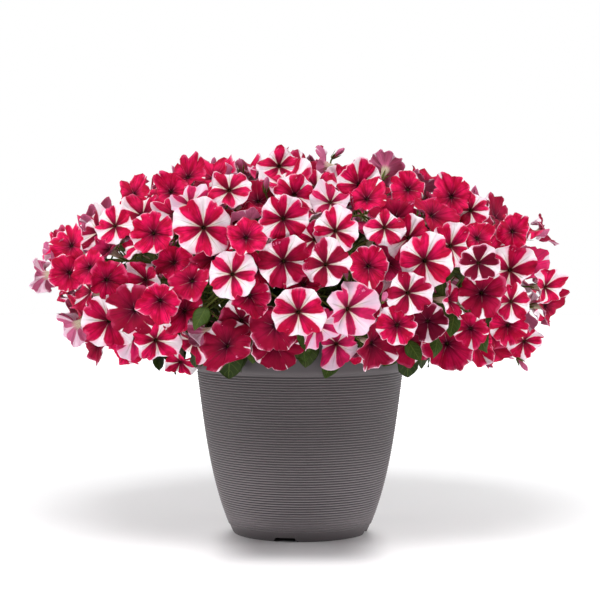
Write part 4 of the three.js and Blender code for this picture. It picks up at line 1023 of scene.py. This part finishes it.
def add_anthers(shell, bloom):
    """A stigma and four small anthers round it, just inside the throat."""
    level = bloom["centre"] - bloom["axis"] * (FUNNEL * bloom["radius"] + ANTHER_DEPTH)
    axes = [bloom["side"], bloom["over"], bloom["axis"] * ANTHER_LENGTH]
    for i, form in enumerate([STIGMA] + [ANTHER] * 4):
        angle = (i / 5) * 2 * math.pi + draw(bloom["seed"], 11)
        aside = bloom["side"] * math.cos(angle) + bloom["over"] * math.sin(angle)
        middle = level + aside * form["reach"] + bloom["axis"] * form["rise"]
        ends = [middle + sign * form["size"] * axis for axis in axes for sign in (1, -1)]
        shell.add(np.array(ends), EIGHT_SIDES, **ANTHER_MARKS)


BUD_FACES = [face[::-1] for face in ring_faces(BUD_ROWS, BUD_AROUND)]


def add_bud(shell, bud):
    """A furled bud: a club with spiral pleats, from a pale tube to a crimson tip."""
    axis = bud["axis"]
    side = unit(np.cross(axis, UP))
    over = np.cross(axis, side)
    length = np.linalg.norm(bud["tip"] - bud["heel"])
    points, places, rounds = [], [], []
    for row in range(BUD_ROWS):
        at = (row + 0.4) / BUD_ROWS
        swell = BUD_RADIUS[0] + BUD_RADIUS[1] * math.sin(math.pi * at**1.8) ** 1.2
        angle = np.arange(BUD_AROUND) / BUD_AROUND * 2 * math.pi + at * BUD_TWIST
        turn = angle * BUD_PLEATS["count"] - at * BUD_TWIST * BUD_PLEATS["count"] + at * BUD_PLEATS["turn"]
        pleat = 1 + BUD_PLEATS["depth"] * at * np.cos(turn)
        distance = swell * math.sqrt(1 - at**6) * pleat
        direction = np.cos(angle)[:, None] * side + np.sin(angle)[:, None] * over
        points.append(bud["heel"] + direction * distance[:, None] + axis * at * length)
        places.append(np.broadcast_to([0.5, mix(0.1, 0.9, at), 0.3], (BUD_AROUND, 3)))
        rounds.append(np.column_stack([np.cos(angle), np.sin(angle), np.zeros(BUD_AROUND)]))
    shell.add(
        np.concatenate([*points, bud["heel"][None], bud["tip"][None]]),
        BUD_FACES,
        petal_place=np.concatenate([*places, [[0.5, 0.1, 0.3], [0.5, 0.9, 0.3]]]),
        petal_mark=[0, 0.9, 1],
        petal_tone=[0.4, 0, 1],
        petal_round=np.concatenate([*rounds, np.zeros((2, 3))]),
    )


# Leaves and calyxes

LEAF_FACES = ring_faces(LEAF_ROWS, LEAF_AROUND)


def add_leaf(shell, leaf):
    """A blade through five rows of midrib and two edges, closed, thin and folded along its midrib."""
    knots, seed = leaf["knots"], leaf["seed"]
    degree = len(LEAF_KNOTS) - 1
    curves = [np.polyfit(LEAF_KNOTS, knots[:, i], degree) for i in range(3)]
    at = 0.5 - 0.5 * np.cos(np.linspace(*LEAF_ENDS, LEAF_ROWS) * math.pi)
    powers = at[:, None] ** np.arange(degree, -1, -1)
    middle, edge, far_edge = [powers @ curve for curve in curves]
    across = unit(far_edge - edge)
    along = unit(np.gradient(middle, axis=0))
    normal = unit(np.cross(across, along))
    angle = np.arange(LEAF_AROUND) / LEAF_AROUND * 2 * math.pi
    aside = np.cos(angle)
    half = np.linalg.norm(far_edge - edge, axis=1)[:, None] / 2
    reach = np.abs(aside)[None, :, None]
    toward = np.where(aside[None, :, None] > 0, far_edge[:, None], edge[:, None])
    points = middle[:, None] + (toward - middle[:, None]) * reach
    lift = LEAF_THICKNESS / 2 * np.sin(angle)[None] + LEAF_FOLD * half * (np.abs(aside) - 0.5)[None]
    waves = np.sin(at[:, None] * LEAF_WAVES + 9 * draw(seed, 3))
    ripple = LEAF_RIPPLE * half * waves * (aside**2 * np.sign(aside))[None]
    points = points + normal[:, None] * (lift + ripple)[..., None]
    places = np.stack(np.broadcast_arrays(aside[None], at[:, None], 0.0), axis=-1).reshape(-1, 3)
    shell.add(
        np.concatenate([points.reshape(-1, 3), knots[[0, -1], 0]]),
        LEAF_FACES,
        leaf_place=np.concatenate([places, [[0, 0, 0], [0, 1, 0]]]),
        leaf_mark=[0, leaf["young"], leaf["shaded"]],
    )


SEPAL_FACES = ring_faces(SEPAL_ROWS, 4)


def add_calyx(shell, part, seed, spread, start, length):
    """Five slender sepals that hug the tube of a bloom or bud and open a little at their tips."""
    heel, axis = part["heel"], part["axis"]
    side = unit(np.cross(axis, UP if abs(axis[2]) < 0.9 else np.array([1.0, 0, 0])))
    over = np.cross(axis, side)
    for i in range(LOBES):
        turn = (i + 0.25 * draw(seed, i)) / LOBES * 2 * math.pi
        out = side * math.cos(turn) + over * math.sin(turn)
        across = np.cross(axis, out)
        points = []
        for row in range(SEPAL_ROWS):
            at = (row + 0.15) / SEPAL_ROWS
            reach = start + 0.0004 + 0.0017 * at + spread * length * at * at
            centre = heel + axis * (at * length - 0.001) + out * reach
            half = SEPAL_WIDTH / 2 * math.sin(math.pi * (0.25 + 0.62 * at))
            points += [centre + across * half, centre + out * SEPAL_THICKNESS / 2]
            points += [centre - across * half, centre - out * SEPAL_THICKNESS / 2]
        points.append(heel - axis * 0.0015)
        points.append(heel + axis * length + out * (start + 0.0022 + spread * length))
        shell.add(np.array(points), SEPAL_FACES, leaf_place=[0.5, 0.5, 0], leaf_mark=[0.25, 0.75, 0])


# Spare leaves along the stems, kept clear of the petals

CENTRES, AXES, RADII = [np.array([bloom[key] for bloom in blooms]) for key in ("centre", "axis", "radius")]


def meets_limb(points, space):
    """True where any of the points is in a bloom's limb or tube, or within a space of it."""
    v = points[:, None] - CENTRES[None]
    s = np.einsum("ijk,jk->ij", v, AXES)
    rho = np.sqrt(np.maximum(np.einsum("ijk,ijk->ij", v, v) - s * s, 0))
    inward = np.maximum(0, 1 - rho / RADII)
    front = -FUNNEL * RADII * inward**FUNNEL_CURVE + LIMB_ROOM["front"] * RADII * (1 - inward)
    back = -(FUNNEL * RADII + NECK_DEPTH) * inward - LIMB_ROOM["back"] * RADII * (1 - inward)
    in_limb = (rho < RADII * LIMB_ROOM["edge"] + space) & (s < front + space) & (s > back - space)
    in_tube = (rho < NECK_RADIUS + space) & (s < 0) & (s > -TUBE_LENGTH - space)
    return bool((in_limb | in_tube).any())


def near_pot(points):
    """True where any of the points is in the pot's wall or its soil, or close to them."""
    out = np.hypot(points[:, 0], points[:, 1])
    height = points[:, 2]
    beside_wall = (out > COLLAR_RADIUS - RIM_WIDTH - WALL_SPACE) & (out < COLLAR_RADIUS + WALL_SPACE)
    in_wall = beside_wall & (height < RIM_HEIGHT + WALL_SPACE)
    in_soil = (out < COLLAR_RADIUS) & (height < SOIL_TOP + SOIL_SPACE)
    return bool((in_wall | in_soil).any())


def shows_outside(point):
    """True where a place is near the mound's surface, and high enough to be seen among the blooms."""
    x, y, z = point
    rise = (z - MOUND["level"]) / (MOUND["up"] if z > MOUND["level"] else MOUND["down_side"])
    reach = math.sqrt((x / MOUND["x"]) ** 2 + (y / MOUND["y"]) ** 2 + rise**2)
    return z > SPARE_LEAF_FREE and reach > SPARE_LEAF_DEPTH


def outside_box(points):
    """True where any of the points is outside the frame's box, or close to its sides."""
    low, high = np.array(FRAME_BOX)
    return bool(((points < low + BOX_MARGIN) | (points > high - BOX_MARGIN)).any())


def blade_knots(heel, along, normal, length, width, point, seed):
    """Midrib and edges of a new leaf, as rows like those of the frame."""
    across = np.cross(normal, along)
    rows = []
    for at in LEAF_KNOTS:
        half = width / 2 * math.sin(math.pi * at**0.8) ** point if 0 < at < 1 else 0.0
        bend = -SPARE_LEAF_BEND * length * at * at
        wave = LEAF_RIPPLE * length * math.sin(9 * at + 6 * draw(seed, 8))
        middle = heel + along * at * length + normal * bend
        rows.append([middle, middle + across * half + normal * wave, middle - across * half - normal * wave])
    return np.array(rows)


def fitted_leaf(root, along, normal, size, stalk, seed, shaded=0.0):
    """A leaf on a stalk from its root, or None where it would meet a bloom or the pot, or show too far out.
    Its size is its length, its width and how pointed it is."""
    normal = unit(normal - along * (normal @ along))
    knots = blade_knots(root + along * stalk, along, normal, *size, seed)
    halfway = [(knots[1:, 0] + knots[1:, edge]) / 2 for edge in (1, 2)]
    on_stalk = root + along * np.linspace(0.004, max(stalk, 0.005), 4)[:, None]
    samples = np.concatenate([knots.reshape(-1, 3), *halfway, on_stalk])
    if outside_box(samples) or near_pot(samples) or shows_outside(knots[-1, 0]):
        return None
    if meets_limb(samples, LIMB_CLEARANCE):
        return None
    young = draw(seed, 5) * SPARE_LEAF_YOUNG
    leaf = {"knots": knots, "root": root, "heel": knots[0, 0], "stalk": STALK_RADIUS * SPARE_STALK_RADIUS}
    return leaf | {"seed": seed, "young": young, "shaded": shaded}


def hanging_leaf(point, seed):
    """A broad leaf that hangs from a stem outside the rim and faces outwards, if one fits there."""
    away = np.hypot(point[0], point[1])
    if not HANGING_SPAN[0] < away < HANGING_SPAN[1] or point[2] > HANGING_HIGHEST:
        return None
    radial = unit(point * np.array([1.0, 1.0, 0.0]))
    aside = np.cross(UP, radial)
    facing = radial + aside * HANGING_TURN * (2 * draw(seed, 7) - 1) + UP * HANGING_FACE
    length = mix(*HANGING_LENGTH, draw(seed, 1))
    size = (length, length * HANGING_WIDTH, BLADE_POINTS[1])
    for reach in HANGING_REACHES:
        stalk = mix(*HANGING_STALK, mix(0.5, 1.0, draw(seed, 6)) * reach)
        for lean in HANGING_LEANS:
            along = unit(aside * lean + radial * HANGING_OUT - UP)
            leaf = fitted_leaf(point, along, facing, size, stalk, seed, HANGING_SHADE)
            if leaf:
                return leaf
    return None


def turned_leaf(point, along_stem, first_turn, seed):
    """A small leaf that stands out from its stem on the first side where one fits."""
    side = unit(np.cross(along_stem, UP + 0.01))
    over = np.cross(along_stem, side)
    for attempt in range(SPARE_LEAF_TRIES):
        turn = first_turn + attempt * SPARE_LEAF_TURN
        out = side * math.cos(turn) + over * math.sin(turn)
        along = unit(out + along_stem * SPARE_LEAF_AIM[0] + UP * SPARE_LEAF_AIM[1])
        normal = UP + out * SPARE_LEAF_FACE[0] + along_stem * SPARE_LEAF_FACE[1]
        length = mix(*SPARE_LEAF_LENGTH, draw(seed, 1)) * (1 - SPARE_LEAF_SHRINK * attempt)
        size = (length, length * SPARE_LEAF_WIDTH, BLADE_POINTS[0])
        stalk = SPARE_STALK[0] + SPARE_STALK[1] * length
        leaf = fitted_leaf(point, along, normal, size, stalk, seed)
        if leaf:
            return leaf
    return None


def spare_leaves(shoot):
    """Small leaves that turn round the stem as they go up it, each where one fits between the blooms, and
    among them those that hang outside the rim."""
    line = shoot["line"][0]
    lengths = lengths_along(line)
    found = []
    for i in range(int((lengths[-1] - SPARE_LEAF_FIRST) / SPARE_LEAF_SPACING)):
        seed = 50000 + shoot["index"] * 200 + i
        at = SPARE_LEAF_FIRST + (i + 0.5) * SPARE_LEAF_SPACING
        point = places_along(line, lengths, at)
        step = places_along(line, lengths, at + AHEAD) - point
        along_stem = unit(step if at + AHEAD < lengths[-1] else line[-1] - line[-2])
        leaves = (turned_leaf(point, along_stem, i * GOLDEN_ANGLE, seed), hanging_leaf(point, seed + 100))
        found += [leaf for leaf in leaves if leaf]
    return found


# Stems and stalks


def stalk_line(root, heel, axis):
    """A stalk that leaves the stem straight and bends into line with what it carries."""
    length = np.linalg.norm(heel - root)
    away = unit(heel - root)
    bend = min(STALK_BEND[0] * length, STALK_BEND[1])
    t = np.linspace(0, 1, STALK_POINTS)[:, None]
    start = root - away * STALK_SUNK
    return bezier(start, start + away * length * 0.4, heel - axis * bend, heel, t)


def geometry_tree(name, sizes):
    """The board of an empty geometry tree with an input for each named size, the wires of its inputs by
    name, and the sizes by the identifiers that a modifier knows them by."""
    tree = bpy.data.node_groups.new(name, "GeometryNodeTree")
    tree.interface.new_socket("Geometry", in_out="INPUT", socket_type="NodeSocketGeometry")
    settings = {}
    for label, value in sizes.items():
        kind = "NodeSocketInt" if isinstance(value, int) else "NodeSocketFloat"
        socket = tree.interface.new_socket(label, in_out="INPUT", socket_type=kind)
        settings[socket.identifier] = value
    tree.interface.new_socket("Geometry", in_out="OUTPUT", socket_type="NodeSocketGeometry")
    board = Board(tree)
    entry = board.node("NodeGroupInput")
    return board, {socket.name: Wire(board, socket) for socket in entry.outputs if socket.name}, settings


def close_tree(board, geometry, material):
    """Smooths and realizes what was placed, gives it its material and sends it out."""
    smoothed = board.wire("GeometryNodeSetShadeSmooth", {"Geometry": geometry})
    real = board.wire("GeometryNodeRealizeInstances", {0: smoothed})
    painted = board.wire("GeometryNodeSetMaterial", {"Geometry": real, "Material": material})
    board.node("NodeGroupOutput", {0: painted})


def grown(name, mesh, tree, settings):
    """The plain mesh that a geometry tree makes from a mesh."""
    host = placed(name, mesh)
    modifier = host.modifiers.new(name, "NODES")
    modifier.node_group = tree
    for key, value in settings.items():
        modifier[key] = value
    made = evaluated_mesh(host)
    bpy.data.objects.remove(host)
    bpy.data.meshes.remove(mesh)
    made.name = name
    return made


def tube_tree():
    """Round closed tubes along the lines of a mesh, as thick as the lines' points say."""
    board, wires, settings = geometry_tree("tubes", {"Sides": TUBE_SIDES, "Step": TUBE_STEP})
    curve = board.wire("GeometryNodeMeshToCurve", {"Mesh": wires["Geometry"]})
    sockets = {"Curve": curve, "Length": wires["Step"]}
    curve = board.wire("GeometryNodeResampleCurve", sockets, {"mode": "LENGTH"})
    ring = board.wire("GeometryNodeCurvePrimitiveCircle", {"Resolution": wires["Sides"], "Radius": 1.0})
    thick = board.wire("GeometryNodeInputNamedAttribute", {"Name": "thickness"}, {"data_type": "FLOAT"})
    sockets = {"Curve": curve, "Profile Curve": ring, "Scale": thick, "Fill Caps": True}
    close_tree(board, board.wire("GeometryNodeCurveToMesh", sockets), FOLIAGE)
    return board.tree, settings


TUBES = tube_tree()


def tube_mesh(name, lines):
    """One mesh of tubes along lines of (points, thickness), marked as stem in the foliage's attributes."""
    points, edges, thick = [], [], []
    for line, width in lines:
        first = sum(len(p) for p in points)
        points.append(line)
        thick.append(np.broadcast_to(width, len(line)))
        edges += [(first + i, first + i + 1) for i in range(len(line) - 1)]
    mesh = bpy.data.meshes.new(name)
    mesh.from_pydata(np.concatenate(points).tolist(), edges, [])
    layer = mesh.attributes.new("thickness", "FLOAT", "POINT")
    layer.data.foreach_set("value", np.concatenate(thick).astype(np.float32))
    tubes = grown(name, mesh, *TUBES)
    for mark, value in (("leaf_place", (0.5, 0.5, 0.0)), ("leaf_mark", (1.0, 0.0, 0.0))):
        layer = tubes.attributes.new(mark, "FLOAT_VECTOR", "POINT")
        layer.data.foreach_set("vector", np.tile(value, len(tubes.vertices)).astype(np.float32))
    return tubes


def dress_shoot(shoot):
    """Makes the two pieces that stand for a shoot: its blooms and buds, and its foliage."""
    name = SHOOTS[shoot["index"]]
    number = name.rsplit("_", 1)[1]
    petals = Shell(("petal_place", "petal_mark", "petal_tone", "petal_round"))
    greens = Shell(("leaf_place", "leaf_mark"))
    lines = [shoot["line"]]

    def add_stalk(part, axis, radius=STALK_RADIUS):
        lines.append((stalk_line(part["root"], part["heel"], axis), radius))

    for bloom in shoot["blooms"]:
        add_bloom(petals, bloom)
        add_anthers(petals, bloom)
        spread = mix(*SEPAL_SPREAD, draw(bloom["seed"], 12))
        add_calyx(greens, bloom, bloom["seed"], spread, **BLOOM_CALYX)
        add_stalk(bloom, bloom["axis"])
    for i, bud in enumerate(shoot["buds"]):
        add_bud(petals, bud)
        add_calyx(greens, bud, 900 + i, **BUD_CALYX)
        add_stalk(bud, bud["axis"])
    plain = {"young": 0.0, "shaded": 0.0, "stalk": STALK_RADIUS}
    leaves = [leaf | plain | {"seed": 300 + i} for i, leaf in enumerate(shoot["leaves"])]
    for leaf in leaves + spare_leaves(shoot):
        add_leaf(greens, leaf)
        add_stalk(leaf, unit(leaf["knots"][1, 0] - leaf["heel"]), leaf["stalk"])
    tubes = tube_mesh(f"stems_{number}", lines)
    foliage = join(f"foliage_{number}", greens.mesh(f"leaves_{number}", FOLIAGE), tubes)
    piece(foliage, f"foliage_{number}", "foliage", name)
    piece(petals.mesh(f"blooms_{number}", PETALS), f"blooms_{number}", "petals", name)


for shoot in shoots:
    dress_shoot(shoot)


# Pot


def body_radius(z):
    """How wide the pot's body is at a height, in the frame."""
    straight = FLARE_STRAIGHT * z / BODY_TOP
    return FOOT_RADIUS + BODY_FLARE * (straight + (1 - FLARE_STRAIGHT) * (1 - np.exp(-z / FLARE_LENGTH)))


def pot_profile():
    """The wall's outline without its ribs, from the middle of the underside to that of the floor."""
    inside_foot = FOOT_RADIUS - FOOT_RING_WIDTH
    floor_top = FLOOR_UNDERSIDE + WALL
    return [
        (0, FLOOR_UNDERSIDE),
        (inside_foot, FLOOR_UNDERSIDE),
        (inside_foot, 0.0006),
        (inside_foot + 0.0006, 0),
        (FOOT_RADIUS - 0.0012, 0),
        (FOOT_RADIUS - 0.0002, 0.0012),
        *((body_radius(z) - WALL_SUNK, z) for z in np.linspace(0.006, BODY_TOP - 0.001, WALL_ROWS)),
        (body_radius(BODY_TOP) - WALL_SUNK, BODY_TOP + 0.0006),
        (COLLAR_RADIUS - 0.0012, BODY_TOP + 0.0010),
        (COLLAR_RADIUS - 0.0004, BODY_TOP + 0.0018),
        (COLLAR_RADIUS, BODY_TOP + 0.004),
        (COLLAR_RADIUS + 0.0002, 0.23),
        (COLLAR_RADIUS + 0.0004, RIM_HEIGHT - 0.0025),
        (COLLAR_RADIUS, RIM_HEIGHT - 0.0008),
        (COLLAR_RADIUS - 0.001, RIM_HEIGHT),
        (COLLAR_RADIUS - 0.0025, RIM_HEIGHT),
        (COLLAR_RADIUS - WALL, RIM_HEIGHT - 0.001),
        (COLLAR_RADIUS - WALL, BODY_TOP + 0.002),
        *((body_radius(z) - WALL, z) for z in (BODY_TOP - 0.004, 0.1, 0.04, floor_top)),
        (0, floor_top),
    ]


def turned(profile):
    """A closed solid of revolution from a profile that starts and ends on the axis."""
    work = bmesh.new()
    angles = [2 * math.pi * i / TURN_STEPS for i in range(TURN_STEPS)]
    rings = []
    for r, z in profile:
        around = angles if r else [0.0]
        rings.append([work.verts.new((r * math.cos(a), r * math.sin(a), z)) for a in around])
    for low, high in zip(rings, rings[1:]):
        for i in range(TURN_STEPS):
            j = (i + 1) % TURN_STEPS
            corners = [low[i % len(low)], low[j % len(low)], high[j % len(high)], high[i % len(high)]]
            work.faces.new(list(dict.fromkeys(corners)))
    return work


def add_notch_cutter(work, angle):
    """A wedge that cuts one notch in the foot ring."""
    turn = np.array([[math.cos(angle), -math.sin(angle)], [math.sin(angle), math.cos(angle)]])
    low, high = -CUT_PAST, NOTCH["height"]
    width, top_width = NOTCH["width"], NOTCH["top_width"]
    corners = []
    for r in (FOOT_RADIUS - FOOT_RING_WIDTH - CUT_PAST, FOOT_RADIUS + 0.006):
        for across, z in ((-width, low), (width, low), (top_width, high), (-top_width, high)):
            corners.append(work.verts.new((*(turn @ np.array([r, across / 2])), z)))
    a, b, c, d, e, f, g, h = corners
    for face in ((a, d, c, b), (e, f, g, h), (a, b, f, e), (b, c, g, f), (c, d, h, g), (d, a, e, h)):
        work.faces.new(face)


def add_drain_cutter(work, angle):
    """A round bar that cuts one drain hole in the floor."""
    radius = DRAIN["radius"]
    sizes = {"segments": DRAIN["sides"], "radius1": radius, "radius2": radius, "depth": WALL * 3}
    made = bmesh.ops.create_cone(work, cap_ends=True, **sizes)
    x, y = DRAIN["circle"] * math.cos(angle), DRAIN["circle"] * math.sin(angle)
    bmesh.ops.translate(work, verts=made["verts"], vec=(x, y, FLOOR_UNDERSIDE + WALL / 2))


def rib_tree():
    """Level rings up the pot's body: one at each height, as wide as the flare is there."""
    sizes = {
        "Count": RIB_COUNT,
        "Lowest": RIB_LOWEST,
        "Pitch": RIB_PITCH,
        "Foot radius": FOOT_RADIUS,
        "Flare": BODY_FLARE,
        "Proud": RIB_PROUD,
        "Half height": RIB_HALF_HEIGHT,
    }
    board, wires, settings = geometry_tree("pot_ribs", sizes)
    start = board.pack(0.0, 0.0, wires["Lowest"])
    step = board.pack(0.0, 0.0, wires["Pitch"])
    sockets = {"Count": wires["Count"], "Start Location": start, "Offset": step}
    line = board.wire("GeometryNodeMeshLine", sockets)
    height = board.split(board.wire("GeometryNodeInputPosition"))[2]
    straight = height * (FLARE_STRAIGHT / BODY_TOP)
    curved = (1.0 - board.math("EXPONENT", height * (-1 / FLARE_LENGTH))) * (1 - FLARE_STRAIGHT)
    radius = wires["Foot radius"] + wires["Flare"] * (straight + curved) - RIB_SUNK - WALL_SUNK
    ring = board.wire("GeometryNodeCurvePrimitiveCircle", {"Resolution": TURN_STEPS, "Radius": 1.0})
    sockets = {"Points": line, "Instance": ring, "Scale": board.pack(radius, radius, 1.0)}
    rings = board.wire("GeometryNodeInstanceOnPoints", sockets)
    rings = board.wire("GeometryNodeRealizeInstances", {0: rings})
    section = board.wire("GeometryNodeCurvePrimitiveCircle", {"Resolution": RIB_SIDES, "Radius": 1.0})
    scale = board.pack(wires["Proud"], wires["Half height"], 1.0)
    section = board.wire("GeometryNodeTransform", {"Geometry": section, "Scale": scale})
    sockets = {"Curve": rings, "Profile Curve": section, "Scale": 1.0}
    close_tree(board, board.wire("GeometryNodeCurveToMesh", sockets), PLASTIC)
    return board.tree, settings


def cut(mesh, cutter, name):
    """A mesh with a cutter taken out of it."""
    host, tool = placed(name, mesh), placed(name + "_tool", cutter)
    modifier = host.modifiers.new("cut", "BOOLEAN")
    modifier.operation = "DIFFERENCE"
    modifier.solver = "EXACT"
    modifier.object = tool
    made = evaluated_mesh(host)
    for item in (host, tool):
        bpy.data.objects.remove(item)
    return made


def dress_pot():
    """Makes the pot of its turned wall, cut for the notches and drains, and its ribs."""
    cuts = bmesh.new()
    for i in range(NOTCH["count"]):
        add_notch_cutter(cuts, math.radians(NOTCH["first_angle"] + 360 / NOTCH["count"] * i))
    for i in range(DRAIN["count"]):
        add_drain_cutter(cuts, (i + 0.5) / DRAIN["count"] * 2 * math.pi)
    wall = closed_mesh("pot_wall", turned(pot_profile()))
    wall = cut(wall, closed_mesh("cuts", cuts), "pot_wall")
    wall.materials.clear()
    wall.materials.append(PLASTIC)
    pot = join("pot", wall, grown("pot_ribs", bpy.data.meshes.new("seed"), *rib_tree()))
    pot.set_sharp_from_angle(angle=math.radians(SHARP_ANGLE))
    piece(pot, "pot_moulding", "pot", "pot")


dress_pot()
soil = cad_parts["soil"].data
soil.materials.clear()
soil.materials.append(MIX)


# Floor, light and camera


def stage_floor():
    """A pale floor that glows as painted light: dim round the soft shadow behind the pot as painted
    shadow, plain white far away, and with a dark painted contact shadow at the pot's foot.
    """
    mesh = bpy.data.meshes.new("floor")
    half = STAGE_RADIUS
    corners = [(-half, -half, 0), (half, -half, 0), (half, half, 0), (-half, half, 0)]
    mesh.from_pydata(corners, [], [(0, 1, 2, 3)])
    constants = {"Roughness": 0.5, "Specular_IOR_Level": 0.3, "Emission_Strength": 1.0}
    material, board = new_material("floor", **constants)
    x, y, _ = board.split(board.object_place())
    # painted light: the floor glows, least round the soft shadow behind the pot, as painted shadow, and most
    # far away
    behind = y - SHADOW_BEHIND
    far = board.map((x * x + behind * behind) ** 0.5, *SHADOW_REACH)
    # painted contact shadow: a dark patch at the pot's foot, in both the floor's glow and its colour
    across = (x / CONTACT_SHADOW["half_width"]) ** 4.0
    along = ((y + CONTACT_SHADOW["front"]) / CONTACT_SHADOW["half_length"]) ** 4.0
    painted_contact_shadow = 1.0 - board.map((across + along) ** 0.25, *CONTACT_SHADOW_EDGE)
    near_glow, far_glow = [(glow, glow, glow, 1) for glow in FLOOR_GLOW]
    glow = board.layers(near_glow, (far, far_glow), (painted_contact_shadow, (0, 0, 0, 1)))
    board.surface(Base_Color=board.blend(painted_contact_shadow, *FLOOR_COLOURS), Emission_Color=glow)
    mesh.materials.append(material)
    placed("floor", mesh)


def stage_backdrop():
    """A white shell round everything, which shows behind the plant and in the plastic's gloss, but leaves
    the soft light to the world."""
    work = bmesh.new()
    bmesh.ops.create_icosphere(work, subdivisions=4, radius=STAGE_RADIUS)
    mesh = closed_mesh("backdrop", work)
    mesh.shade_smooth()
    constants = {"Base_Color": (0, 0, 0, 1), "Emission_Color": (1, 1, 1, 1), "Emission_Strength": 1.0}
    material, _ = new_material("backdrop", **constants, Specular_IOR_Level=0.0)
    mesh.materials.append(material)
    backdrop = placed("backdrop", mesh)
    backdrop.visible_diffuse = False
    backdrop.visible_shadow = False


def aim(item, place, target):
    """Puts a light or camera in its place, facing a target."""
    item.location = place
    item.rotation_mode = "QUATERNION"
    item.rotation_quaternion = (Vector(target) - Vector(place)).to_track_quat("-Z", "Y")


def light_and_view():
    """A dim white world, four soft lights, and the camera at the photo's angle."""
    scene = bpy.context.scene
    scene.world = bpy.data.worlds.new("studio")
    scene.world.use_nodes = True
    background = scene.world.node_tree.nodes["Background"].inputs
    background["Color"].default_value = (1, 1, 1, 1)
    background["Strength"].default_value = WORLD_LIGHT
    for name, place, height, size, power in LIGHTS:
        light = bpy.data.lights.new(name, "AREA")
        light.shape = "DISK"
        light.size = size
        light.energy = power
        aim(placed(name, light), place, (0, 0, height))
    camera = bpy.data.cameras.new("camera")
    camera.sensor_width = SENSOR
    camera.lens = LENS
    camera.clip_start = 0.05
    scene.camera = placed("camera", camera)
    aim(scene.camera, EYE, AIM)
    scene.view_settings.view_transform = "Standard"
    scene.view_settings.look = "None"


stage_floor()
stage_backdrop()
light_and_view()
